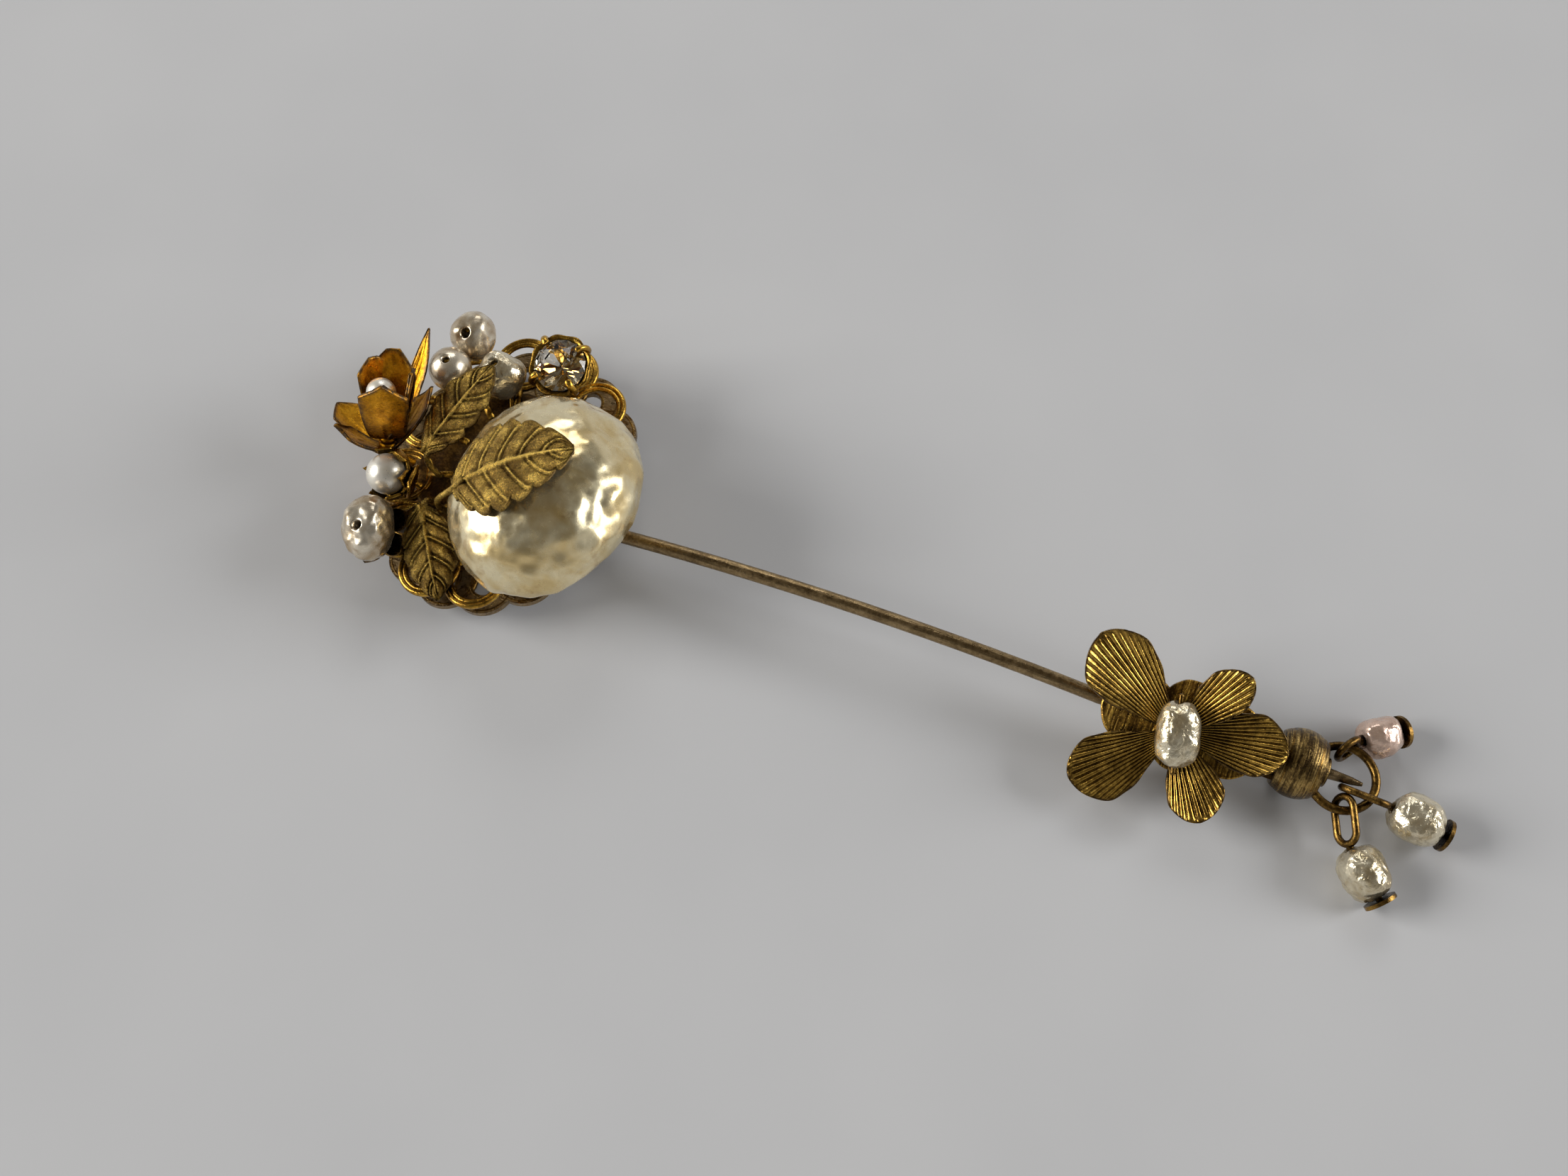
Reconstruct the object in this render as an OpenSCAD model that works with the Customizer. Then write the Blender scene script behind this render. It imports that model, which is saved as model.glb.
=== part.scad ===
// A jewelled stick pin: a cluster of pearls, leaves and a rose on a slender wire, with a flowered
// guard that slides off over the point. Lengths are in millimetres and angles in degrees.
// X runs along the pin's straight end, from the head to the point, and Z is up. The origin is on
// the wire's axis at the middle of the guard's round clutch, which rests on the table.

/* [Stem] */
// Diameter of the wire
stem_d = 1.1; // [0.9:0.05:1.3]
// Length of the straight end from the arch to the start of the point
shank_l = 15.9; // [15.6:0.1:18]
// Length of the tapered point
point_l = 4.3; // [3:0.1:4.3]
// Diameter at the blunt end of the point
tip_d = 0.3; // [0.2:0.05:0.5]
// Diameter of the wire where it starts to round off to the tip
point_neck_d = 0.6; // [0.5:0.05:0.8]
// Length of that rounding off
point_end_l = 0.8; // [0.5:0.1:1.5]
// Radius of the shallow arch between head and guard
arch_r = 126; // [100:1:150]
// Length of the wire that is soldered under the head
solder_l = 9; // [6:0.5:10]

/* [Head plates] */
// Lean of the head, which is the wire's slope where it meets the head
head_lean = 8.5; // [7:0.5:10]
// How far the head's middle lies beside the wire's line
head_side = 1.8; // [0:0.1:2.5]
// Length of the pierced front plate along the pin
front_l = 20.4; // [19:0.2:21]
// Width of the pierced front plate across the pin
front_w = 24.8; // [23:0.2:26]
// How far the back plate reaches past the front plate at each end along the pin
back_past = 0.4; // [0:0.1:0.8]
// How far the back plate stops short of the front plate at each side
back_short = 0.4; // [0:0.1:0.8]
// Thickness of each plate
plate_t = 0.5; // [0.4:0.05:0.7]
// Clear height between the two plates
plate_gap = 1.3; // [1:0.1:1.8]
// Width of the metal round each open loop
loop_band = 0.8; // [0.6:0.05:1]

/* [Head jewels] */
// Length of the large pearl along the pin
big_l = 14.6; // [14:0.1:16]
// Width of the large pearl across the pin
big_w = 16.8; // [15:0.1:17.4]
// Height of the large pearl
big_h = 8; // [7:0.1:9]
// Diameter of the three pearls above the leaf
top_d = 3.4; // [3:0.1:3.8]
// Diameter of the smooth pearl in the cup
cup_pearl_d = 3.2; // [2.8:0.1:3.6]
// Diameter of the uneven pearl at the lower left
low_pearl_d = 4; // [3.6:0.1:4.4]
// Diameter of the cut stone
stone_d = 4.2; // [3.8:0.1:4.6]
// Diameter of the holes through the small pearls
drill_d = 0.8; // [0.6:0.05:0.9]

/* [Leaves and rose] */
// Length of the large leaf
leaf_l = 11; // [10:0.1:12]
// Width of the large leaf
leaf_w = 6.8; // [6:0.1:7.6]
// Thickness of the leaves
leaf_t = 0.4; // [0.3:0.05:0.6]
// Length of the rose's outer petals
rose_l = 6; // [5:0.1:7]
// Thickness of the rose's petals
rose_t = 0.3; // [0.25:0.05:0.4]

/* [Guard] */
// Diameter of the round clutch
clutch_d = 5.3; // [5:0.1:5.8]
// Length of the clutch along the pin
clutch_l = 3.3; // [3:0.1:3.8]
// Clearance round the wire in the clutch
bore_gap = 0.06; // [0.03:0.01:0.09]
// Roll of the flower about the wire
guard_roll = 25; // [15:1:30]
// Length of the lobed plate under the flower
bar_l = 12.4; // [11.6:0.1:13]
// Width of the lobed plate under the flower
bar_w = 6.9; // [6:0.1:8]
// Length of the flower's longest petal
petal_l = 9.1; // [8:0.1:10]
// Width of the flower's petals
petal_w = 5.4; // [4.6:0.1:6]
// Thickness of the flower's petals
petal_t = 0.35; // [0.3:0.05:0.5]
// Length of the pearl in the flower
centre_l = 4.8; // [4.4:0.1:5.4]
// Diameter of the pearl in the flower
centre_d = 3.2; // [2.8:0.1:3.6]

/* [Drops] */
// Diameter of the open ring behind the clutch, to the middle of its wire
ring_d = 5; // [4.8:0.1:5.4]
// Diameter of the ring's wire
ring_wire = 0.66; // [0.55:0.02:0.7]
// Diameter of the drops' wires
drop_wire_d = 0.56; // [0.45:0.02:0.6]
// Length of the long loop that holds a drop, to the middle of its wire
eye_l = 3.5; // [3.2:0.1:4]
// Width of the long loop, to the middle of its wire
eye_w = 1.8; // [1.7:0.05:2.1]
// Diameter of a drop's pearl
drop_d = 3.7; // [3.3:0.1:4]
// Diameter of the flat end of a drop's wire
disc_d = 2.5; // [2:0.1:2.8]

/* [Hidden] */

// Fineness of true round surfaces, and the small clearance between pieces that seat on each other
$fn = 48;
seat = 0.12;
weld = 0.12;

// The head's place follows from the wire: it leaves the guard level, arches, and meets the back
// plate's underside at the head's lean, so that the plate's far rim just touches the table.
back_l = front_l + 2 * back_past;
back_w = front_w - 2 * back_short;
floor_z = -clutch_d / 2;
past_rim = 0.7;
end_x = back_l / 2 + past_rim;
plate_up = (stem_d + plate_t) / 2 - weld;
rim_drop = back_l / 2 * sin(head_lean) + plate_t / 2 * cos(head_lean);
arch_end_z = floor_z + rim_drop + end_x * sin(head_lean) - plate_up * cos(head_lean);
rise = acos(cos(head_lean) - arch_end_z / arch_r);
shank_x0 = 0.5 - shank_l;
arch_end_x = shank_x0 - arch_r * (sin(rise) + sin(head_lean));
head_x = arch_end_x - end_x * cos(head_lean) - plate_up * sin(head_lean);
head_z = arch_end_z - end_x * sin(head_lean) + plate_up * cos(head_lean);

// Heights above the middle of the back plate, in the head's own leaning frame
front_z = plate_t + plate_gap;
top_z = front_z + plate_t / 2;
function spot(share_x, share_y) = [share_x * front_l / 2, share_y * front_w / 2];
function foot(share_x, share_y, d) = concat(spot(share_x, share_y), top_z + seat + d * elbow / 2);

module on_head() translate([head_x, head_side, head_z]) rotate([0, -head_lean, 0]) children();
module aim(az, el) rotate([0, 90 - el, az]) children();
module run(az, pitch, roll = 0) rotate([0, 0, az]) rotate([0, -pitch, 0]) rotate([roll, 0, 0]) children();

// A round bar from a to b
module rod(a, b, d) {
    v = b - a;
    h = norm(v);
    translate(a) rotate([0, acos(v[2] / h), atan2(v[1], v[0])]) cylinder(h = h, d = d);
}

// A bent wire through the given points, with a round elbow at each
elbow = 1.04;
module wire(points, d) {
    for (i = [0 : len(points) - 2]) rod(points[i], points[i + 1], d);
    for (p = points) translate(p) sphere(d = d * elbow, $fn = 24);
}

// A thin curved blade, such as a leaf or petal, with its root at the origin, running along +X and
// facing +Z. peak is where it is widest, as a share of its length, and blunt rounds its end.
// bend turns it upward over its length, cup lifts its edges, and fold lifts them in a V.
function half_share(u, peak, blunt, root) =
    max(root * (1 - u), 0.05, pow(max(0, sin(180 * pow(u, ln(0.5) / ln(peak)))), blunt));
function blade_point(u, v, l, w, bend, cup, fold, peak, blunt, root, drop) =
    let (
        turn = bend * u,
        arc = abs(bend) < 0.01 ? [l * u, 0] : l * 180 / (PI * bend) * [sin(turn), 1 - cos(turn)],
        half = w / 2 * half_share(u, peak, blunt, root),
        up = half * (cup * v * v + fold * abs(v)) - drop
    )
    [arc[0] - up * sin(turn), v * half, arc[1] + up * cos(turn)];
module blade(l, w, t, bend = 0, cup = 0, fold = 0, peak = 0.6, blunt = 0.7, root = 0.2, n = 10, m = 6) {
    count = (n + 1) * (m + 1);
    points = [
        for (drop = [0, t]) for (i = [0 : n]) for (j = [0 : m])
            blade_point(i / n, 2 * j / m - 1, l, w, bend, cup, fold, peak, blunt, root, drop)
    ];
    function at(i, j) = i * (m + 1) + j;
    faces = concat(
        [for (i = [0 : n - 1]) for (j = [0 : m - 1]) each [
            [at(i, j), at(i, j + 1), at(i + 1, j + 1)],
            [at(i, j), at(i + 1, j + 1), at(i + 1, j)],
            [count + at(i, j), count + at(i + 1, j), count + at(i + 1, j + 1)],
            [count + at(i, j), count + at(i + 1, j + 1), count + at(i, j + 1)]
        ]],
        [for (i = [0 : n - 1]) each [
            [at(i, 0), at(i + 1, 0), count + at(i + 1, 0)],
            [at(i, 0), count + at(i + 1, 0), count + at(i, 0)],
            [at(i + 1, m), at(i, m), count + at(i, m)],
            [at(i + 1, m), count + at(i, m), count + at(i + 1, m)]
        ]],
        [for (j = [0 : m - 1]) each [
            [at(0, j + 1), at(0, j), count + at(0, j)],
            [at(0, j + 1), count + at(0, j), count + at(0, j + 1)],
            [at(n, j), at(n, j + 1), count + at(n, j + 1)],
            [at(n, j), count + at(n, j + 1), count + at(n, j)]
        ]]
    );
    polyhedron(points = points, faces = faces, convexity = 6);
}

// An uneven pearl about the origin: half sizes a, b and up or down, dented by two waves
module lumpy(a, b, up, down, lump, sides = 16, rings = 10, phase = 0) {
    function bump(lat, lon) =
        1 + lump * sin(3 * lon + 60 * sin(lat) + phase) * cos(lat) + lump / 2 * sin(4 * lat + 2 * lon);
    points = concat(
        [[0, 0, -down]],
        [for (i = [1 : rings - 1]) for (j = [0 : sides - 1])
            let (lat = -90 + 180 * i / rings, lon = 360 * j / sides, r = bump(lat, lon))
            [r * a * cos(lat) * cos(lon), r * b * cos(lat) * sin(lon), r * sin(lat) * (lat < 0 ? down : up)]],
        [[0, 0, up]]
    );
    last = len(points) - 1;
    function at(i, j) = 1 + (i - 1) * sides + j % sides;
    faces = concat(
        [for (j = [0 : sides - 1]) [0, at(1, j), at(1, j + 1)]],
        [for (i = [1 : rings - 2]) for (j = [0 : sides - 1]) each [
            [at(i, j), at(i + 1, j), at(i + 1, j + 1)],
            [at(i, j), at(i + 1, j + 1), at(i, j + 1)]
        ]],
        [for (j = [0 : sides - 1]) [last, at(rings - 1, j + 1), at(rings - 1, j)]]
    );
    polyhedron(points = points, faces = faces, convexity = 4);
}

// Places round an oval rim, inset from its edge
function rim_place(i, count, phase, l, w, inset) =
    let (angle = phase + 360 * i / count) [(l / 2 - inset) * cos(angle), (w / 2 - inset) * sin(angle), 0];
function toward(az, el) = [cos(el) * cos(az), cos(el) * sin(az), sin(el)];

// The wire: point, straight shank, arch and soldered end
module stem() {
    translate([shank_x0, 0, 0]) rotate([0, 90, 0]) cylinder(h = shank_l, d = stem_d);
    translate([shank_x0 + shank_l, 0, 0]) rotate([0, 90, 0]) {
        cylinder(h = point_l - point_end_l, d1 = stem_d, d2 = point_neck_d);
        translate([0, 0, point_l - point_end_l]) cylinder(h = point_end_l, d1 = point_neck_d, d2 = tip_d);
    }
    translate([shank_x0, 0, 0]) sphere(d = stem_d * 1.01);
    translate([shank_x0 - arch_r * sin(rise), 0, -arch_r * cos(rise)])
        rotate([90, 0, 0]) rotate([0, 0, 90 - rise]) rotate_extrude(angle = rise + head_lean, $fn = 720)
            translate([arch_r, 0]) circle(d = stem_d, $fn = 32);
    translate([arch_end_x, 0, arch_end_z]) sphere(d = stem_d * 1.01);
    translate([arch_end_x, 0, arch_end_z]) rotate([0, -90 - head_lean, 0])
        cylinder(h = end_x - back_l / 2 + solder_l, d = stem_d);
}

// Scalloped back plate, with the wire soldered under it
back_scallops = 16;
back_phase = 16;
scallop_r = back_w * 0.105;
scallop_hole_d = 1.9;
module back_plate() color("#6b5229") {
    on_head() translate([0, 0, -plate_t / 2]) linear_extrude(plate_t) difference() {
        union() {
            for (i = [0 : back_scallops - 1])
                translate(rim_place(i, back_scallops, back_phase, back_l, back_w, scallop_r))
                    circle(r = scallop_r);
            circle(d = back_l - 2 * scallop_r, $fn = 64);
        }
        for (i = [0 : back_scallops - 1])
            translate(rim_place(i, back_scallops, back_phase, back_l, back_w, scallop_r))
                circle(d = scallop_hole_d);
    }
    stem();
}

// Pierced front plate: open loops round a solid middle, on a short collar, with a wire up into
// each of the three pearls. A row of top_pearls is the pearl's place, the way its hole points,
// its width as a share of top_d, and the foot of its wire.
loops = 12;
loop_phase = -14;
loop_r = front_w * 0.102;
web_r = front_l / 2 - 1.3 * loop_r;
collar_r = front_l * 0.2;
collar_wall = 0.7;
wire_d = 0.4;
top_pearls = [
    [concat(spot(-0.6, 0.8), 4.4), toward(-80, 64), 1.06, spot(-0.39, 0.42)],
    [concat(spot(-0.61, 0.48), 4.9), toward(-30, 84), 0.98, spot(-0.47, 0.34)],
    [concat(spot(-0.2, 0.54), 4.6), toward(164, 82), 1.04, spot(-0.14, 0.44)]
];
module front_plate() color("#b3892f") on_head() {
    translate([0, 0, front_z - plate_t / 2]) linear_extrude(plate_t) difference() {
        union() {
            for (i = [0 : loops - 1])
                translate(rim_place(i, loops, loop_phase, front_l, front_w, loop_r)) circle(r = loop_r);
            circle(r = web_r, $fn = 64);
        }
        for (i = [0 : loops - 1])
            translate(rim_place(i, loops, loop_phase, front_l, front_w, loop_r)) circle(r = loop_r - loop_band);
    }
    translate([0, 0, plate_t / 2 + seat]) difference() {
        cylinder(h = plate_gap, r = collar_r);
        translate([0, 0, -plate_t]) cylinder(h = plate_gap + 2 * plate_t, r = collar_r - collar_wall);
    }
    for (p = top_pearls) {
        half = top_d * p[2] / 2;
        wire([concat(p[3], front_z), p[0] - p[1] * (half + wire_d), p[0] + p[1] * half * 0.8], wire_d);
    }
}

// The three pearls beside the leaf, each drilled along the way its wire runs
module top_pearl(i) color("#d8d2c6") on_head() translate(top_pearls[i][0]) {
    half = top_d * top_pearls[i][2] / 2;
    az = atan2(top_pearls[i][1][1], top_pearls[i][1][0]);
    aim(az, asin(top_pearls[i][1][2])) difference() {
        if (i == 1) sphere(r = half);
        else lumpy(half * 1.05, half * 0.95, half, half, 0.05, phase = 70 * i);
        cylinder(h = 4 * half, d = drill_d, center = true);
    }
}

// Large pearl: a flattened, slightly dented dome
big_at = concat(spot(0.59, -0.21), 0);
big_low = 2.6;
module big_pearl() color("#efe2c0") on_head() translate(big_at + [0, 0, top_z + seat + big_low])
    lumpy(big_l / 2, big_w / 2, big_h - big_low, big_low, 0.012, 32, 16, 30);

// Leaves, each on a wire stalk that is soldered to its root and stands on the front plate
stalk_d = 0.6;
leaf_peak = 0.45;
module leaf(root, foot, knee, az, pitch, l, w, bend, cup, fold) {
    translate(root) run(az, pitch)
        blade(l, w, leaf_t, bend, cup, fold, leaf_peak, 0.75, 0.25, 12, 8);
    wire([foot, knee, root + toward(az, pitch) * 0.6 - [0, 0, leaf_t / 2]], stalk_d);
}
module leaf_large() color("#8f6f2f") on_head()
    leaf(concat(spot(0.05, -0.45), 8.5), foot(-0.19, -0.41, stalk_d), concat(spot(-0.21, -0.46), 5.4),
        28, 41, leaf_l * 0.97, leaf_w, -56, -0.08, 0);
module leaf_upper() color("#9c7833") on_head()
    leaf(concat(spot(-0.47, -0.16), 5.5), foot(-0.4, -0.18, stalk_d), concat(spot(-0.45, -0.19), 4.6),
        69, 20, leaf_l * 0.8, leaf_w * 0.6, -18, -0.15, 0);
module leaf_lower() color("#8a6b2c") on_head()
    leaf(concat(spot(-0.32, -0.48), 5), foot(-0.34, -0.37, stalk_d), concat(spot(-0.33, -0.42), 4.4),
        -60, -14, leaf_l * 0.7, leaf_w * 0.6, -8, 0, -0.35);

// Rose: open outer petals round a cup of inner ones, with a pearl on a peg to one side inside. A row of
// petals is the turn round the flower, the pitch at the root, how far it bends, and its length and
// width as shares of rose_l.
rose_at = concat(spot(-0.816, -0.155), 4.3);
rose_az = 85;
rose_el = 58;
rose_disc_r = 0.7;
rose_disc_t = 0.4;
rose_lift = 0.74;
rose_out = 0.55;
rose_open = [
    [128.5, 18, 24, 0.77, 0.3],
    [85, 12, 24, 0.94, 0.56],
    [325, 42, 28, 1.06, 0.34],
    [5.5, 36, 26, 1.7, 0.19]
];
rose_cup = [
    [210.5, 54, 26, 1.1, 0.68],
    [22.5, 61, 26, 1.15, 0.6],
    [62, 60, 24, 1.05, 0.5],
    [300, 62, 26, 1, 0.6]
];
module on_rose() on_head() translate(rose_at) aim(rose_az, rose_el) children();
module rose_petals(rows, out, root) for (row = rows) run(row[0], row[1]) translate([out, 0, 0])
    blade(rose_l * row[3], rose_l * row[4], rose_t, row[2], 0.12, 0, 0.7, 0.7, root, 8, 6);
module rose_outer() color("#b9802c") {
    on_rose() {
        cylinder(h = rose_lift, r = rose_disc_r, $fn = 24);
        rose_petals(rose_open, 0, 0.4);
    }
    on_head() wire([foot(-0.66, -0.14, stalk_d), rose_at + toward(rose_az, rose_el) * 0.3], stalk_d);
}
module rose_inner() color("#c98f33") on_rose() translate([0, 0, rose_lift + seat]) {
    cylinder(h = rose_disc_t, r = rose_disc_r, $fn = 24);
    on_peg() cylinder(h = rose_pearl_up, d = peg_d, $fn = 16);
    rose_petals(rose_cup, rose_out, 0.35);
}
peg_d = 0.5;
peg_turn = 125;
peg_off = 0.4;
rose_pearl_d = 2.3;
rose_pearl_up = 4.2;
module on_peg() rotate([0, 0, peg_turn]) translate([peg_off, 0, 0]) children();
module rose_pearl() color("#e6dfd2") on_rose()
    translate([0, 0, rose_lift + seat]) on_peg() translate([0, 0, rose_pearl_up]) difference() {
        sphere(d = rose_pearl_d);
        translate([0, 0, -rose_pearl_d]) cylinder(h = rose_pearl_d + seat, d = drill_d);
    }

// Smooth pearl in a cup with a crown of short points and three leaves behind it, on a stalk. A row
// of cup_rows is a leaf's turn round the cup, its pitch, its length as a share of the pearl, and bend.
cup_at = concat(spot(-0.68, -0.349), 5.1);
cup_az = 237;
cup_el = 53;
cup_wall = 0.3;
cup_points = 6;
cup_point_l = 1.3;
cup_rows = [[25, 2, 0.6, 60], [112, 0, 1.1, 76], [312, 2, 0.5, 60]];
module on_cup() on_head() translate(cup_at) aim(cup_az, cup_el) children();
module pearl_cup() color("#a87e35") {
    cup_r = cup_pearl_d / 2 + seat;
    on_cup() {
        difference() {
            sphere(r = cup_r + cup_wall);
            sphere(r = cup_r);
            translate([0, 0, -cup_r * 0.3]) cylinder(h = 3 * cup_r, r = 3 * cup_r);
        }
        translate([0, 0, -cup_r - cup_wall * 0.7]) cylinder(h = cup_r, d = peg_d);
        for (i = [0 : cup_points - 1]) rotate([0, 0, 360 * i / cup_points])
            translate([cup_r + cup_wall * 0.2, 0, -cup_r * 0.4]) run(0, 82)
                blade(cup_point_l, cup_point_l, rose_t, 4, 0.1, 0, 0.3, 0.8, 0.9, 4, 4);
        for (row = cup_rows) translate([0, 0, -cup_r - cup_wall * 0.6]) run(row[0], row[1])
            blade(cup_pearl_d * row[2], cup_pearl_d * 0.85, rose_t, row[3], 0.1, 0, 0.55, 0.8, 0.35, 8, 4);
    }
    on_head() wire([foot(-0.5, -0.29, stalk_d),
        cup_at - toward(cup_az, cup_el) * (cup_r + cup_wall * 0.7)], stalk_d);
}
module cup_pearl() color("#e9e4da") on_cup() difference() {
    sphere(d = cup_pearl_d);
    translate([0, 0, -cup_pearl_d]) cylinder(h = cup_pearl_d + seat, d = drill_d);
}

// Uneven pearl over a flat five-petalled cap with a wire through the hole
low_at = concat(spot(-0.62, -0.728), 5);
low_az = 272;
low_el = 69;
cap_petals = 5;
cap_petal_l = 2.8;
cap_phase = -10;
module on_low() on_head() translate(low_at) aim(low_az, low_el) children();
module low_cap() color("#8d6a2c") {
    on_low() translate([0, 0, -low_pearl_d * 0.53 - seat - rose_t]) {
        cylinder(h = rose_t, r = 1, $fn = 24);
        cylinder(h = low_pearl_d * 0.9, d = wire_d, $fn = 16);
        for (i = [0 : cap_petals - 1]) run(cap_phase + 360 * i / cap_petals, 4) translate([0, 0, rose_t])
            blade(cap_petal_l, cap_petal_l * 0.62, rose_t, 16, 0.1, 0, 0.62, 0.7, 0.5, 6, 4);
    }
    on_head() wire([foot(-0.45, -0.4, stalk_d),
        low_at - toward(low_az, low_el) * (low_pearl_d * 0.53 + seat)], wire_d);
}
module low_pearl() color("#d9d3cb") on_low() rotate([0, 0, 8]) difference() {
    lumpy(low_pearl_d * 0.61, low_pearl_d * 0.49, low_pearl_d / 2, low_pearl_d / 2, 0.05, phase = 20);
    cylinder(h = 2 * low_pearl_d, d = drill_d, center = true);
}

// Cut stone in a four-pronged cup on a stalk
stone_at = concat(spot(0.25, 0.68), 5.2);
stone_az = -73;
stone_el = 73;
crown_h = stone_d * 0.19;
pavilion_h = stone_d * 0.38;
prongs = 4;
prong_turn = 30;
facets = 8;
prong_d = 0.56;
module on_stone() on_head() translate(stone_at) aim(stone_az, stone_el) children();
module stone_setting() color("#c59a35") {
    cup_top = stone_d / 2 + seat + 0.3;
    cup_h = pavilion_h + 0.5;
    on_stone() {
        difference() {
            translate([0, 0, -cup_h]) cylinder(h = cup_h, r1 = cup_top * 0.5, r2 = cup_top);
            translate([0, 0, -pavilion_h - seat])
                cylinder(h = pavilion_h + 2 * seat, r1 = 0.4, r2 = stone_d / 2 + seat * 1.6);
        }
        for (i = [0 : prongs - 1]) rotate([0, 0, prong_turn + 360 * i / prongs])
            rod([cup_top - 0.05, 0, -0.4], [cup_top - 0.35, 0, crown_h + 0.1], prong_d);
    }
    on_head() wire([foot(0.21, 0.48, 2 * stalk_d), stone_at - toward(stone_az, stone_el) * (cup_h + stalk_d)],
        2 * stalk_d);
}
module cut_stone() color("#dfe6ea") on_stone() rotate([0, 0, prong_turn + 180 / facets]) {
    cylinder(h = crown_h, d1 = stone_d, d2 = stone_d * 0.56, $fn = facets);
    translate([0, 0, -pavilion_h]) cylinder(h = pavilion_h, d1 = stone_d * 0.06, d2 = stone_d, $fn = facets);
}

// Guard: a round clutch drilled for the wire, with the lobed plate and the open ring soldered on
module on_guard() rotate([guard_roll, 0, 0]) children();
bar_t = 0.5;
bar_x = -8.9;
bar_z = stem_d / 2 + seat;
bar_top = bar_z + bar_t;
end_lobe_r = bar_w * 0.41;
side_lobe_r = bar_w * 0.3;
tongue_w = 2.8;
ring_x = clutch_l / 2 + ring_d * 0.33;
ring_half = 136;
module guard_clutch() color("#7b6230") difference() {
    union() {
        intersection() {
            sphere(d = clutch_d);
            rotate([0, 90, 0]) cylinder(h = clutch_l, d = 2 * clutch_d, center = true);
        }
        translate([ring_x, 0, 0]) rotate([0, 0, -ring_half]) rotate_extrude(angle = 2 * ring_half)
            translate([ring_d / 2, 0]) circle(d = ring_wire);
        on_guard() translate([0, 0, bar_z]) linear_extrude(bar_t) {
            for (s = [-1, 1]) {
                translate([bar_x + s * (bar_l / 2 - end_lobe_r), 0]) circle(r = end_lobe_r);
                translate([bar_x, s * (bar_w / 2 - side_lobe_r)]) circle(r = side_lobe_r);
            }
            translate([bar_x, -bar_w / 4]) square([-bar_x - clutch_l / 4, bar_w / 2]);
        }
    }
    translate([-clutch_l, 0, 0]) rotate([0, 90, 0]) cylinder(h = 2 * clutch_l, d = stem_d + 2 * bore_gap);
}

// Flower: a disc and five ribbed petals. A row of petals is the way it points, its pitch, its
// length and width as shares of petal_l and petal_w, and how far it bends.
flower_at = [-9.4, -0.6, bar_top + seat];
flower_disc_r = 1.5;
petals = [
    [145, 8, 1.03, 1, 6],
    [56, 22, 0.8, 0.64, -10],
    [8, 9, 0.91, 0.84, 4],
    [-57, 16, 0.77, 0.76, -8],
    [-138, 6, 0.95, 0.9, 4]
];
centre_az = 102;
centre_up = petal_t + 0.35 + centre_d / 2;
staple_reach = centre_l / 2 + 0.4;
module on_flower() on_guard() translate(flower_at) children();
module staple(d) on_flower() rotate([0, 0, centre_az])
    wire([[-staple_reach * 0.75, 0, seat], [-staple_reach, 0, centre_up], [staple_reach, 0, centre_up],
        [staple_reach * 0.75, 0, seat]], d);
module guard_flower() color("#94733a") difference() {
    on_flower() {
        cylinder(h = petal_t, r = flower_disc_r);
        for (p = petals) run(p[0], p[1]) translate([0, 0, petal_t])
            blade(petal_l * p[2], petal_w * p[3], petal_t, p[4], 0.12, 0, 0.66, 0.6, 0.3, 10, 6);
    }
    staple(wire_d + 2 * seat);
}
module guard_staple() color("#6f5528") staple(wire_d);
module guard_pearl() color("#ddd3c2") on_flower() translate([0, 0, centre_up])
    rotate([0, 0, centre_az]) rotate([0, 90, 0]) difference() {
        lumpy(centre_d / 2, centre_d / 2, centre_l / 2, centre_l / 2, 0.05, phase = 40);
        cylinder(h = 2 * centre_l, d = drill_d, center = true);
    }

// Drops: a long eye through the ring, a wire through the pearl, and a flat disc that ends it.
// A row of drops is the place round the ring, the eye's direction, length as a share of eye_l,
// reach inside the ring and roll, and the pearl's direction, pitch and size as a share of drop_d.
eye_pitch = -8;
neck = 0.35;
disc_t = 0.3;
drops = [
    [90, 53, 0.58, 1.2, 78, 38, -17, 0.84],
    [-19, 0, 1.03, 2.3, 112, -6, -11, 1],
    [-74, -68, 1, 1.05, 60, -42, -12, 0.97]
];
function eye_straight(i) = eye_l * drops[i][2] - eye_w;
function ring_point(i) = [ring_x, 0, 0] + ring_d / 2 * toward(drops[i][0], 0);
function eye_start(i) = ring_point(i) - (drops[i][3] - eye_w / 2) * toward(drops[i][1], eye_pitch);
function eye_end(i) = eye_start(i) + (eye_straight(i) + eye_w / 2) * toward(drops[i][1], eye_pitch);
function drop_half(i) = drop_d * drops[i][7] * 0.56;
function drop_centre(i) = eye_end(i) + (neck + drop_half(i)) * toward(drops[i][5], drops[i][6]);
module drop_wire(i) color("#6e5427") {
    straight = eye_straight(i);
    translate(eye_start(i)) run(drops[i][1], eye_pitch, drops[i][4]) {
        for (s = [0, 1]) translate([s * straight, 0, 0]) rotate([0, 0, 90 - 180 * s])
            rotate_extrude(angle = 180) translate([eye_w / 2, 0]) circle(d = drop_wire_d);
        for (s = [-1, 1]) translate([0, s * eye_w / 2, 0]) rotate([0, 90, 0])
            cylinder(h = straight, d = drop_wire_d);
    }
    far = drop_centre(i) + (drop_half(i) + seat) * toward(drops[i][5], drops[i][6]);
    rod(eye_end(i), far + disc_t / 2 * toward(drops[i][5], drops[i][6]), drop_wire_d);
    rod(far, far + disc_t * toward(drops[i][5], drops[i][6]), disc_d);
}
module drop_pearl(i) color("#ded6c8") translate(drop_centre(i)) run(drops[i][5], drops[i][6]) rotate([0, 90, 0])
    difference() {
        r = drop_d * drops[i][7] / 2;
        lumpy(r, r, drop_half(i), drop_half(i), 0.05, phase = 110 * i);
        cylinder(h = 4 * r, d = drop_wire_d + 2 * seat, center = true);
    }

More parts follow.
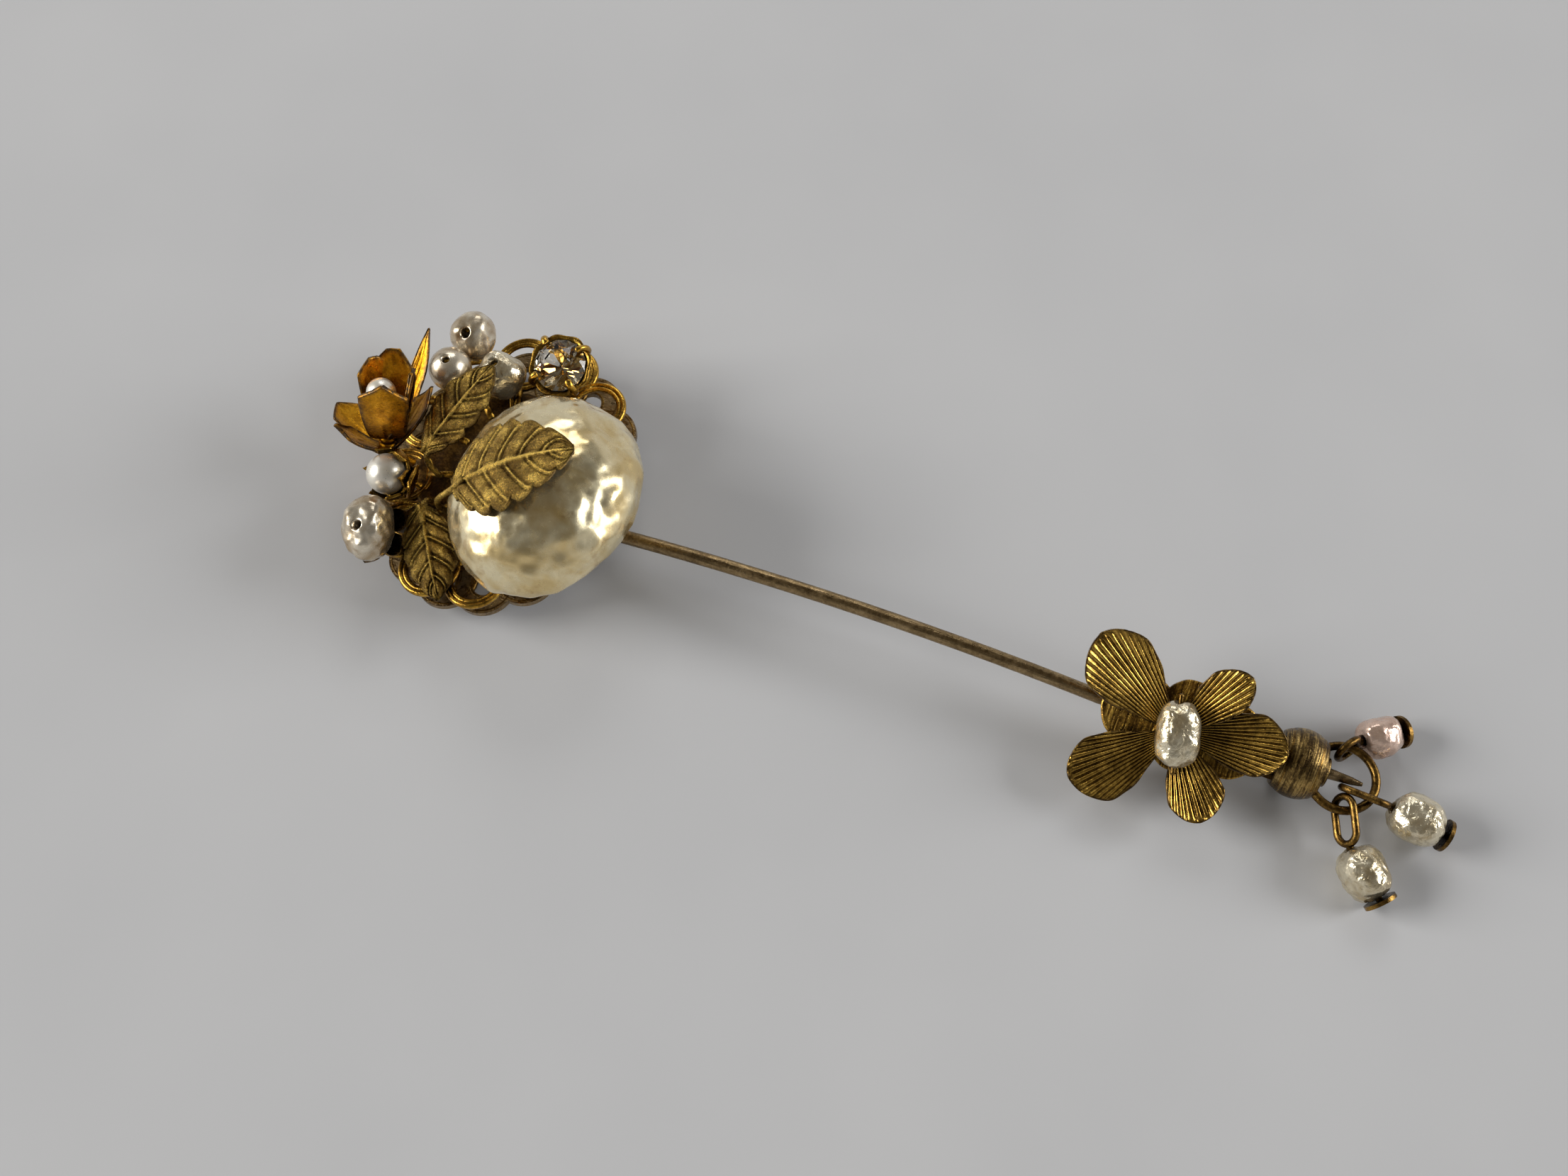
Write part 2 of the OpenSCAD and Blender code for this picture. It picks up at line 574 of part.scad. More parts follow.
back_plate();
front_plate();
big_pearl();
leaf_large();
leaf_upper();
leaf_lower();
rose_outer();
rose_inner();
rose_pearl();
pearl_cup();
cup_pearl();
low_cap();
low_pearl();
top_pearl(0);  // top_pearl_1
top_pearl(1);  // top_pearl_2
top_pearl(2);  // top_pearl_3
stone_setting();
cut_stone();
guard_clutch();
guard_flower();
guard_staple();
guard_pearl();
drop_wire(0);  // drop_wire_1
drop_wire(1);  // drop_wire_2
drop_wire(2);  // drop_wire_3
drop_pearl(0);  // drop_pearl_1
drop_pearl(1);  // drop_pearl_2
drop_pearl(2);  // drop_pearl_3
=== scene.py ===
import math
import bpy
from mathutils import Matrix, Vector, noise


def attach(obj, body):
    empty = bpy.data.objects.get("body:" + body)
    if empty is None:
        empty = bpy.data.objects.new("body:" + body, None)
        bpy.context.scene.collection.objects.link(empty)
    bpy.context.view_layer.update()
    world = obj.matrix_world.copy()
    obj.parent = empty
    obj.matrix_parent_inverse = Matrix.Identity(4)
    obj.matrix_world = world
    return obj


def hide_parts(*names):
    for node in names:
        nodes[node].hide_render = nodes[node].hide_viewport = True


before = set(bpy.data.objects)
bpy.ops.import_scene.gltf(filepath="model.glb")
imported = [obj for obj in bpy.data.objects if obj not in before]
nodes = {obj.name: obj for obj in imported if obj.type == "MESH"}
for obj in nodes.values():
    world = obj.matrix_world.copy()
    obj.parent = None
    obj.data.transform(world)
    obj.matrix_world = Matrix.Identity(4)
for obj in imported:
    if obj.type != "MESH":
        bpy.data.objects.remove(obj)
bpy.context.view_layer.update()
scene = bpy.context.scene
MM = 0.001

# Camera, fitted to the photograph: its three axes and its eye point in the shared frame.
cam_data = bpy.data.cameras.new("camera")
cam_data.lens = 40.0
cam_data.sensor_width = 36.0
cam_data.clip_start = 0.005
cam_data.clip_end = 20.0
cam = bpy.data.objects.new("camera", cam_data)
scene.collection.objects.link(cam)
RIGHT = Vector((0.9397, 0.342, 0.0))
UP = Vector((-0.3148, 0.865, 0.3907))
BACK = Vector((0.1336, -0.3672, 0.9205))
EYE = Vector((-22.74, -49.34, 124.27)) * MM
cam.matrix_world = Matrix((
    (RIGHT.x, UP.x, BACK.x, EYE.x),
    (RIGHT.y, UP.y, BACK.y, EYE.y),
    (RIGHT.z, UP.z, BACK.z, EYE.z),
    (0, 0, 0, 1),
))
scene.camera = cam
scene.view_settings.view_transform = "Standard"

# Sizes as in the CAD model: lengths in millimetres, angles in degrees. _d is a diameter, _l a length, _w a width,
# _t a thickness and _r a radius.
stem_d, shank_l, arch_r = 1.1, 15.9, 126.0             # the wire, its straight end and its arch
head_lean, head_side = 8.5, 1.8                        # how far the head leans, and sits beside the wire
back_l, back_w = 21.2, 24.0                            # scalloped back plate
front_l, front_w, loop_band = 20.4, 24.8, 0.8          # front plate, and the band of its open loops
plate_t, plate_gap = 0.5, 1.3
big_l, big_w, big_h = 14.6, 16.8, 8.0                  # large pearl
top_d, cup_pearl_d, low_pearl_d, stone_d = 3.4, 3.2, 4.0, 4.2
leaf_l, leaf_w, leaf_t = 11.0, 6.8, 0.4
rose_l, rose_t = 6.0, 0.3                              # a petal of the rose
clutch_d, clutch_l, guard_roll = 5.3, 3.3, 25.0        # round clutch, and the guard's turn about the wire
bar_l, bar_w = 12.4, 6.9                               # backing under the guard's flower
petal_l, petal_w, petal_t = 9.1, 5.4, 0.35             # a petal of that flower
centre_l, centre_d = 4.8, 3.2                          # the long pearl in it
ring_d, eye_l, eye_w, drop_d = 5.0, 3.5, 1.8, 3.7      # jump ring, and a drop's wire eye and pearl
seat = weld = 0.12                                     # gap round a seated piece, bite of a soldered one


def sind(a):
    return math.sin(math.radians(a))


def cosd(a):
    return math.cos(math.radians(a))


def move(x, y, z):
    return Matrix.Translation((x, y, z))


def spin(axis, a):
    return Matrix.Rotation(math.radians(a), 4, axis)


def run(az, pitch):
    """Turns the X axis towards az, and up by pitch."""
    return spin("Z", az) @ spin("Y", -pitch)


def aim(az, el):
    """Turns the Z axis towards az, at el over the horizontal."""
    return spin("Z", az) @ spin("Y", 90 - el)


def toward(az, el):
    return Vector((cosd(el) * cosd(az), cosd(el) * sind(az), sind(el)))


# The head's place follows from the wire: it leaves the guard, arches, and meets the leaning back plate.
floor_z = -clutch_d / 2
end_x = back_l / 2 + 0.7
plate_up = (stem_d + plate_t) / 2 - weld
rim_drop = back_l / 2 * sind(head_lean) + plate_t / 2 * cosd(head_lean)
arch_end_z = floor_z + rim_drop + end_x * sind(head_lean) - plate_up * cosd(head_lean)
rise = math.degrees(math.acos(cosd(head_lean) - arch_end_z / arch_r))
arch_end_x = 0.5 - shank_l - arch_r * (sind(rise) + sind(head_lean))
head_x = arch_end_x - end_x * cosd(head_lean) - plate_up * sind(head_lean)
head_z = arch_end_z - end_x * sind(head_lean) + plate_up * cosd(head_lean)
HEAD = move(head_x, head_side, head_z) @ spin("Y", -head_lean)
front_z = plate_t + plate_gap
top_z = front_z + plate_t / 2


def spot(a, b, z=0.0):
    """A place on the head, in shares of the front plate's half length and half width."""
    return Vector((a * front_l / 2, b * front_w / 2, z))


def foot(a, b, d):
    """Where a stalk of thickness d stands on the front plate."""
    return spot(a, b, top_z + seat + d * 0.52)


def on_head(*points):
    return [HEAD @ p for p in points]


def smooth(a, b, x):
    x = min(1.0, max(0.0, (x - a) / (b - a)))
    return x * x * (3 - 2 * x)


def clamp(x):
    return max(-1.0, min(1.0, x))


class Shader:
    """A node material with a few short ways to add nodes. Its textures are placed in millimetres on the object."""

    def __init__(self, name):
        self.mat = bpy.data.materials.new(name)
        self.mat.use_nodes = True
        self.nt = self.mat.node_tree
        self.nt.nodes.clear()
        out = self.nt.nodes.new("ShaderNodeOutputMaterial")
        self.bsdf = self.nt.nodes.new("ShaderNodeBsdfPrincipled")
        self.nt.links.new(self.bsdf.outputs[0], out.inputs[0])
        coords = self.nt.nodes.new("ShaderNodeTexCoord")
        self.at = self.node("ShaderNodeMapping", {"Vector": coords.outputs["Object"],
                                                  "Scale": (1000, 1000, 1000)}).outputs[0]

    def put(self, socket, value):
        if isinstance(value, bpy.types.NodeSocket):
            self.nt.links.new(value, socket)
        else:
            socket.default_value = value

    def node(self, kind, ins=None, **attrs):
        n = self.nt.nodes.new(kind)
        for k, v in attrs.items():
            setattr(n, k, v)
        for k, v in (ins or {}).items():
            self.put(n.inputs[k], v)
        return n

    def set(self, **ins):
        for k, v in ins.items():
            self.put(self.bsdf.inputs[k.replace("_", " ")], v)

    def noise(self, scale, detail=3.0, rough=0.55, vector=None, warp=0.0):
        return self.node("ShaderNodeTexNoise", {"Vector": vector or self.at, "Scale": scale, "Detail": detail,
                                                "Roughness": rough, "Distortion": warp}).outputs["Fac"]

    def stretched(self, scale):
        return self.node("ShaderNodeMapping", {"Vector": self.at, "Scale": scale}).outputs[0]

    def ramp(self, fac, stops):
        n = self.node("ShaderNodeValToRGB", {"Fac": fac})
        elements = n.color_ramp.elements
        while len(elements) < len(stops):
            elements.new(0.5)
        for el, (pos, col) in zip(elements, stops):
            el.position = pos
            el.color = (*col, 1) if isinstance(col, tuple) else (col, col, col, 1)
        return n.outputs["Color"]

    def mix(self, fac, a, b, blend="MIX"):
        n = self.node("ShaderNodeMix", data_type="RGBA", blend_type=blend)
        for i, v in ((0, fac), (6, a), (7, b)):
            self.put(n.inputs[i], (*v, 1) if isinstance(v, tuple) else v)
        return n.outputs[2]

    def math(self, op, a, b=0.0, clamp=False):
        n = self.node("ShaderNodeMath", operation=op, use_clamp=clamp)
        self.put(n.inputs[0], a)
        self.put(n.inputs[1], b)
        return n.outputs[0]

    def attribute(self, name):
        return self.node("ShaderNodeAttribute", attribute_name=name).outputs["Fac"]

    def bump(self, height, strength, distance, normal=None):
        ins = {"Height": height, "Strength": strength, "Distance": distance}
        if normal is not None:
            ins["Normal"] = normal
        return self.node("ShaderNodeBump", ins).outputs[0]


def gold(name, bright, mid, dark, rough, grain, bump, hollow_tarnish_and_shade, rim=None, lines=None, streaks=0.0, spread=0.14):
    """Old gilding: cloudy colour, fine grain, painted shade and tarnish in the hollows, and, where the mesh marks
    them, rubbed raised metal, ditches painted with shade and dark edges.

    bright, mid and dark are the colours of its clouds, spread how softly they meet, rim the colour of its edges,
    hollow_tarnish_and_shade how dark the painted shade and tarnish in the hollows go, lines the stretch of its
    brushed streaks, and streaks how much they show.
    """
    s = Shader(name)
    cloud = s.noise(0.6, 4, 0.6)
    fine = s.noise(grain, 4, 0.72)
    tone = s.math("ADD", s.math("MULTIPLY", cloud, 0.55), s.math("MULTIPLY", fine, 0.45))
    if lines:
        streak = s.noise(1.0, 3, 0.62, s.stretched(lines))
        tone = s.math("ADD", tone, s.math("MULTIPLY", s.math("SUBTRACT", streak, 0.5), streaks))
    colour = s.ramp(tone, [(0.5 - spread, dark), (0.5, mid), (0.5 + spread, bright)])
    # The mark paints raised metal lighter as rubbed wear, and ditches and grooves darker as painted shade.
    mark = s.attribute("rib")
    colour = s.mix(s.math("MULTIPLY", mark, 0.85, True), colour, bright)
    colour = s.mix(s.math("MULTIPLY", mark, -0.85, True), colour, dark)
    if rim:
        edge = s.math("MULTIPLY", s.attribute("rim"), s.ramp(s.noise(1.6, 4), [(0.32, 0.15), (0.55, 1.0)]))
        colour = s.mix(edge, colour, rim)
    # Ambient occlusion darkens the colour in the hollows: painted shade, which also stands for their tarnish.
    ao = s.node("ShaderNodeAmbientOcclusion", {"Distance": 0.0016}, samples=8)
    shade = s.ramp(s.math("POWER", ao.outputs["AO"], hollow_tarnish_and_shade), [(0.0, 0.1), (0.55, 0.66), (1.0, 1.0)])
    colour = s.mix(1.0, colour, shade, "MULTIPLY")
    s.set(Base_Color=colour, Metallic=1.0)
    s.set(Roughness=s.ramp(s.noise(2.3, 4), [(0.3, rough - 0.1), (0.7, rough + 0.14)]))
    normal = s.bump(fine, bump, 0.00012)
    if lines:
        normal = s.bump(streak, 0.6, 0.00008, normal)
    s.set(Normal=normal)
    return s.mat


def pearl(name, light, patch, rough, metal, blotch, coat, stain=None, crumple=0.0, scale=1.0):
    """Coated glass pearl: a silvery lustrous body with warmer clouds, and a clear coat over it.

    light and patch are its two tones, blotch how much of patch shows, stain the colour of its spots, crumple how
    deep its foiled folds are, and scale how fine the clouds and folds.
    """
    s = Shader(name)
    cloud = s.noise(0.5 * scale, 4, 0.55, warp=0.6)
    body = s.mix(s.math("MULTIPLY", s.ramp(cloud, [(0.42, 0.0), (0.62, 1.0)]), blotch), light, patch)
    if stain:
        spots = s.ramp(s.noise(1.1 * scale, 5, 0.65), [(0.58, 0.0), (0.70, 1.0)])
        body = s.mix(s.math("MULTIPLY", spots, 0.55), body, stain)
    # The drilled hole, which the rim mark covers, is painted dark: painted shade.
    body = s.mix(s.attribute("rim"), body, (0.10, 0.075, 0.05))
    s.set(Base_Color=body, Metallic=metal, Coat_Weight=coat, Coat_Roughness=0.05)
    s.set(Roughness=s.ramp(s.noise(1.5, 4), [(0.3, rough - 0.06), (0.7, rough + 0.1)]))
    normal = s.bump(s.noise(7.0, 2), 0.08, 0.00003)
    if crumple:
        fold = s.node("ShaderNodeTexVoronoi", {"Vector": s.at, "Scale": 1.1 * scale, "Randomness": 1.0},
                      feature="SMOOTH_F1").outputs["Distance"]
        wave = s.noise(1.3 * scale, 3, 0.5, warp=1.2)
        normal = s.bump(s.math("ADD", fold, wave), crumple, 0.00035, normal)
        s.set(Coat_Normal=normal)
    s.set(Normal=normal)
    return s.mat


M = {
    "dark": gold("dark_gilt", bright=(0.40, 0.235, 0.055), mid=(0.15, 0.083, 0.021), dark=(0.035, 0.018, 0.005),
                 rough=0.27, grain=4.0, bump=0.3, hollow_tarnish_and_shade=1.6),
    # Near-black gilding for the web under the front loops: painted shade for the hollow there.
    "shade": gold("painted_shade_gilt", bright=(0.24, 0.13, 0.03), mid=(0.07, 0.036, 0.010), dark=(0.015, 0.008, 0.003),
                  rough=0.36, grain=5.0, bump=0.5, hollow_tarnish_and_shade=1.8),
    "stem": gold("stem_gilt", bright=(0.42, 0.30, 0.16), mid=(0.28, 0.195, 0.095), dark=(0.16, 0.105, 0.05),
                 rough=0.28, grain=4.0, bump=0.25, hollow_tarnish_and_shade=1.1, lines=(0.25, 5.0, 5.0), streaks=0.2),
    "bright": gold("bright_gilt", bright=(0.88, 0.55, 0.09), mid=(0.46, 0.255, 0.04), dark=(0.13, 0.062, 0.012),
                   rough=0.2, grain=4.0, bump=0.3, hollow_tarnish_and_shade=1.35),
    "backing": gold("backing_gilt", bright=(0.80, 0.50, 0.10), mid=(0.36, 0.20, 0.04), dark=(0.10, 0.055, 0.014),
                    rough=0.27, grain=5.0, bump=0.4, hollow_tarnish_and_shade=1.3, lines=(6.0, 0.35, 0.35), streaks=0.9),
    "leaf": gold("leaf_gilt", bright=(0.82, 0.56, 0.13), mid=(0.27, 0.165, 0.038), dark=(0.08, 0.044, 0.012),
                 rough=0.25, grain=9.0, bump=0.8, hollow_tarnish_and_shade=1.4, rim=(0.14, 0.085, 0.026), spread=0.115),
    "rose": gold("rose_gilt", bright=(0.95, 0.48, 0.03), mid=(0.58, 0.25, 0.010), dark=(0.17, 0.065, 0.005),
                 rough=0.3, grain=5.0, bump=0.3, hollow_tarnish_and_shade=0.9, rim=(0.085, 0.055, 0.03), spread=0.17),
    "flower": gold("flower_gilt", bright=(0.88, 0.56, 0.12), mid=(0.44, 0.26, 0.052), dark=(0.12, 0.065, 0.015),
                   rough=0.23, grain=3.0, bump=0.15, hollow_tarnish_and_shade=1.3, rim=(0.09, 0.055, 0.025)),
    "clutch": gold("clutch_gilt", bright=(0.46, 0.31, 0.11), mid=(0.17, 0.108, 0.036), dark=(0.05, 0.03, 0.012),
                   rough=0.27, grain=5.0, bump=0.35, hollow_tarnish_and_shade=1.3, lines=(9.0, 0.5, 0.5), streaks=0.9),
    "big": pearl("cream_pearl", light=(0.88, 0.77, 0.50), patch=(0.66, 0.48, 0.19), stain=(0.42, 0.25, 0.09),
                 rough=0.22, metal=0.87, blotch=0.8, coat=0.5, scale=0.6),
    "small": pearl("white_pearl", light=(0.74, 0.66, 0.52), patch=(0.42, 0.31, 0.18), stain=(0.26, 0.165, 0.075),
                   rough=0.26, metal=0.78, blotch=0.9, coat=0.5, crumple=0.05),
    "smooth": pearl("smooth_pearl", light=(0.92, 0.88, 0.78), patch=(0.78, 0.71, 0.57),
                    rough=0.3, metal=0.66, blotch=0.5, coat=0.4, crumple=0.02),
    "foil": pearl("foiled_pearl", light=(0.76, 0.68, 0.50), patch=(0.46, 0.36, 0.20), stain=(0.30, 0.21, 0.11),
                  rough=0.22, metal=0.82, blotch=0.85, coat=0.45, crumple=0.3, scale=1.35),
    "pink": pearl("pink_pearl", light=(0.76, 0.56, 0.45), patch=(0.52, 0.34, 0.26),
                  rough=0.25, metal=0.72, blotch=0.75, coat=0.5, crumple=0.2, scale=1.2),
}

glass = Shader("clear_stone")
glass.set(Base_Color=(0.99, 0.99, 1.0, 1), Roughness=0.0, IOR=1.56, Transmission_Weight=1.0)
glass.set(Normal=glass.bump(glass.noise(3.0, 2), 0.02, 0.00002))
M["glass"] = glass.mat
for name, low_tone, high_tone in (("mirror", (0.78, 0.73, 0.62), (0.98, 0.97, 0.93)),
                                  ("mirror_warm", (0.45, 0.25, 0.05), (0.85, 0.60, 0.22))):
    foil = Shader("stone_foil_" + name)
    foil.set(Base_Color=foil.ramp(foil.noise(1.2, 3), [(0.3, low_tone), (0.7, high_tone)]),
             Metallic=1.0, Roughness=0.04)
    M[name] = foil.mat


class Piece:
    """Collects the parts of one mesh, in millimetres in the shared frame.

    Each point has two marks that the materials read: rim, 1 at an edge, which the gilding darkens, and in a drilled
    hole, which the pearls paint dark as shade; and rib, above 0 on raised metal that is rubbed bright,
    and below 0 in ditches and grooves, which are painted dark as shade.
    """

    def __init__(self, name):
        self.name, self.v, self.f, self.rim, self.rib, self.slots = name, [], [], [], [], []

    def add(self, verts, faces, rim=None, rib=None, slot=0):
        """Adds a part. slot is its material's number, or a list with one number for each face."""
        base = len(self.v)
        self.v += verts
        self.f += [tuple(base + i for i in f) for f in faces]
        self.rim += rim or [0.0] * len(verts)
        self.rib += rib or [0.0] * len(verts)
        self.slots += slot if isinstance(slot, list) else [slot] * len(faces)

    def blade(self, place, l, w, t, half, bend=0.0, cup=0.0, fold=0.0, n=40, m=24, relief=None, curl=0.0,
              edge=0.22, push=0.04, wave=0.0, phase=0.0):
        """A curved blade like the CAD one, with its own outline, stamped relief, curled tip and rounded rim.

        u goes from 0 at the root to 1 at the tip, v from -1 to 1 across. half(u, v) is the outline, as a share of
        w / 2. The blade turns by bend degrees along its length; cup and fold shape its section, curl lifts the tip,
        and wave with phase ruffles the sides. relief(u, v) gives a height and a rib mark. edge is how far the rim
        mark reaches in, and push how far the rounded rim stands out. n and m are the steps along and across.
        """
        def point(u, v, drop):
            turn = bend * u
            if abs(bend) < 0.01:
                ax, az = l * u, 0.0
            else:
                k = l * 180 / (math.pi * bend)
                ax, az = k * sind(turn), k * (1 - cosd(turn))
            h = w / 2 * half(u, v)
            up = h * (cup * v * v + fold * abs(v)) - drop
            up += curl * smooth(0.55, 1.0, u) ** 2 + wave * math.sin(5.2 * u + phase + 2.2 * v) * abs(v) ** 2
            if relief:
                up += relief(u, v)[0]
            return place @ Vector((ax - up * sind(turn), v * h, az + up * cosd(turn)))

        def at(i, j):
            return i * (m + 1) + j

        grid = [(i / n, 2 * j / m - 1) for i in range(n + 1) for j in range(m + 1)]
        top = [point(u, v, 0) for u, v in grid]
        low = [point(u, v, t) for u, v in grid]
        rim, rib = [], []
        for u, v in grid:
            inward = min(w / 2 * half(u, v) * (1 - abs(v)), l * (1 - u))
            rim.append(math.exp(-(inward / edge) ** 2))
            rib.append(relief(u, v)[1] if relief else 0.0)
        count = len(grid)
        faces = []
        for i in range(n):
            for j in range(m):
                a, b, c, d = at(i, j), at(i + 1, j), at(i + 1, j + 1), at(i, j + 1)
                faces += [(a, b, c, d), (count + a, count + d, count + c, count + b)]
        loop = [(0, j) for j in range(m)] + [(i, m) for i in range(n)]
        loop += [(n, j) for j in range(m, 0, -1)] + [(i, 0) for i in range(n, 0, -1)]
        mids = []
        for i, j in loop:
            inner = at(min(max(i, 1), n - 1), min(max(j, 1), m - 1))
            p = (top[at(i, j)] + low[at(i, j)]) / 2
            away = top[at(i, j)] - top[inner]
            mids.append(p + away.normalized() * push if away.length > 1e-6 else p)
        k = len(loop)
        for a in range(k):
            b = (a + 1) % k
            ta, tb = at(*loop[a]), at(*loop[b])
            faces.append((ta, tb, 2 * count + b, 2 * count + a))
            faces.append((2 * count + a, 2 * count + b, count + tb, count + ta))
        self.add(top + low + mids, faces, rim + rim + [1.0] * k, rib + [0.0] * (count + k))

    def tube(self, points, r, sides=16, closed=False, flat=1.0, normal=None, rib=0.0, soften=0):
        """A bar of radius r along points, flattened by flat, with its corners cut soften times."""
        pts = [Vector(p) for p in points]
        for _ in range(soften):
            new = [pts[0]]
            for a, b in zip(pts, pts[1:]):
                new += [a.lerp(b, 0.25), a.lerp(b, 0.75)]
            pts = new + [pts[-1]]
        k = len(pts)
        verts, side = [], None
        for i, p in enumerate(pts):
            a = pts[i - 1] if (i or closed) else p
            b = pts[(i + 1) % k] if (i < k - 1 or closed) else p
            d = (b - a).normalized()
            if normal:
                side = normal.cross(d).normalized()
            elif side is None:
                side = d.orthogonal().normalized()
            else:
                side = (side - d * side.dot(d)).normalized()
            up = d.cross(side)
            for s in range(sides):
                t = 2 * math.pi * s / sides
                verts.append(p + (side * math.cos(t) + up * (flat * math.sin(t))) * r)
        faces = []
        for i in range(k if closed else k - 1):
            for s in range(sides):
                a, b = i * sides, (i + 1) % k * sides
                faces.append((a + s, a + (s + 1) % sides, b + (s + 1) % sides, b + s))
        if not closed:
            verts += [pts[0], pts[-1]]
            for s in range(sides):
                faces.append((k * sides, (s + 1) % sides, s))
                faces.append((k * sides + 1, (k - 1) * sides + s, (k - 1) * sides + (s + 1) % sides))
        self.add(verts, faces, None, [rib] * len(verts))

    def ring(self, place, major, minor, flat=1.0, steps=48, sides=12):
        """A closed ring about place's Z axis."""
        turns = [2 * math.pi * i / steps for i in range(steps)]
        pts = [place @ Vector((major * math.cos(t), major * math.sin(t), 0)) for t in turns]
        axis = (place.to_3x3() @ Vector((0, 0, 1))).normalized()
        self.tube(pts, minor, sides, True, flat, axis)

    def lathe(self, place, profile, sides=64, wobble=None, slot=0):
        """A turned form: profile is (radius, height) from one end to the other."""
        verts = []
        for r, z in profile:
            for s in range(sides):
                t = 2 * math.pi * s / sides
                k = 1 + (wobble(t, z) if wobble else 0)
                verts.append(place @ Vector((r * k * math.cos(t), r * k * math.sin(t), z)))
        faces = []
        for i in range(len(profile) - 1):
            for s in range(sides):
                a, b = i * sides, (i + 1) * sides
                faces.append((a + s, a + (s + 1) % sides, b + (s + 1) % sides, b + s))
        self.add(verts, faces, slot=slot)

    def bead(self, place, a, b, up, down, lump=0.0, phase=0.0, square=1.0, dents=0.0, size=1.0, hole=0.0,
             rings=72, sides=96, deep=0.5):
        """A pearl like the CAD one, with dents and a drilled hole along its own Z.

        a, b, up and down are its reaches from the middle. lump with phase makes it baroque, a square under 1 makes
        it boxy, dents of about size mm dimple it, and hole is the drilling's radius, sunk by deep of its height.
        """
        def skin(lat, lon):
            swell = 1 + lump * sind(3 * lon + 60 * sind(lat) + phase) * cosd(lat)
            swell += lump / 2 * sind(4 * lat + 2 * lon)
            c, s = abs(cosd(lat)) ** square, math.copysign(abs(sind(lat)) ** square, sind(lat))
            p = Vector((a * c * cosd(lon), b * c * sind(lon), s * (down if s < 0 else up))) * swell
            if dents:
                q = p * (0.55 / size) + Vector((phase, 3.7, 1.3))
                p *= 1 + dents * (noise.noise(q) + 0.5 * noise.noise(q * 2.3))
            return p

        verts, rim = [], []
        for i in range(rings + 1):
            lat = -90 + 180 * i / rings
            for j in range(sides):
                p = skin(lat, 360 * j / sides)
                r = math.hypot(p.x, p.y)
                sunk = 0.0
                if hole and r < hole * 1.35:
                    sunk = smooth(hole * 1.35, hole * 0.75, r)
                    p.z *= 1 - deep * sunk
                # The mark in the hole lets the pearl materials paint it dark as shade.
                rim.append(smooth(0.15, 0.8, sunk))
                verts.append(place @ p)
        faces = []
        for i in range(rings):
            for j in range(sides):
                low, high, n = i * sides, (i + 1) * sides, (j + 1) % sides
                faces.append((low + j, low + n, high + n, high + j))
        self.add(verts, faces, rim)

    def done(self, body, mats, replaces=(), smooth_all=True):
        """Makes the object, with the marks on its points, and says what it rides on and stands for."""
        mesh = bpy.data.meshes.new(self.name)
        mesh.from_pydata([v * MM for v in self.v], [], self.f)
        for m in mats:
            mesh.materials.append(M[m])
        for poly, s in zip(mesh.polygons, self.slots):
            poly.material_index = s
            poly.use_smooth = smooth_all
        for key, values in (("rim", self.rim), ("rib", self.rib)):
            mesh.attributes.new(key, "FLOAT", "POINT").data.foreach_set("value", values)
        mesh.validate()
        obj = bpy.data.objects.new(self.name, mesh)
        scene.collection.objects.link(obj)
        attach(obj, body)
        if replaces:
            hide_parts(*replaces)


# Head plates: bright loops of the front plate over the dark scallops of the back plate.
def rim_spot(i, count, phase, l, w, inset):
    """The middle of a scallop or loop on a plate's rim, and its angle."""
    a = phase + 360 * i / count
    return Vector(((l / 2 - inset) * cosd(a), (w / 2 - inset) * sind(a), 0)), a


scallops, scallop_phase, scallop_r = 16, 16, back_w * 0.105
rim_r, lip_r, lip_at = 0.24, 0.16, 1.12
back = Piece("back_rims")
for i in range(scallops):
    middle, _ = rim_spot(i, scallops, scallop_phase, back_l, back_w, scallop_r)
    place = HEAD @ move(*middle)
    back.ring(place, scallop_r - rim_r, rim_r, 1.12, 40, 12)
    back.ring(place, lip_at, lip_r, 1.9, 32, 10)
back.done("pin", ["dark"])

loops, loop_phase, loop_r = 12, -14, front_w * 0.102
loop_wire_r, arm_r = 0.23, 0.34
web_r, web_top, web_low = front_l / 2 - 1.3 * loop_r, 0.2, -0.22
plate = Piece("front_filigree")
for i in range(loops):
    middle, a = rim_spot(i, loops, loop_phase, front_l, front_w, loop_r)
    place = HEAD @ move(middle.x, middle.y, front_z)
    for inset, flat in ((0.28, 1.15), (0.72, 0.95)):
        plate.ring(place, loop_r - loop_band * inset, loop_wire_r, flat, 56, 14)
    inward = Vector((-cosd(a), -sind(a), 0))
    plate.tube([place @ (inward * (loop_r - 0.5)), place @ (inward * (loop_r + 1.6) + Vector((0, 0, 0.12)))],
               arm_r, 12, flat=0.8)
profile = [(0.01, web_top)]
for k in range(30):
    r = web_r * (k + 1) / 30
    profile.append((r, web_top + 0.05 * math.sin(r * 4.2)))
profile += [(web_r + 0.06, 0.0), (web_r, web_low), (0.01, web_low)]
# The web under the loops takes the near-black gilding in slot 1: painted shade.
plate.lathe(HEAD @ move(0, 0, front_z), profile, 96, lambda t, z: 0.006 * math.sin(24 * t), 1)
collar_r, collar_band = front_l * 0.2, 0.7
plate.lathe(HEAD @ move(0, 0, plate_t / 2 + seat),
            [(collar_r - collar_band, 0.05), (collar_r - 0.55, 0.0), (collar_r - 0.12, 0.0), (collar_r, 0.1),
             (collar_r, plate_gap), (collar_r - collar_band, plate_gap), (collar_r - collar_band, 0.05)], 64)

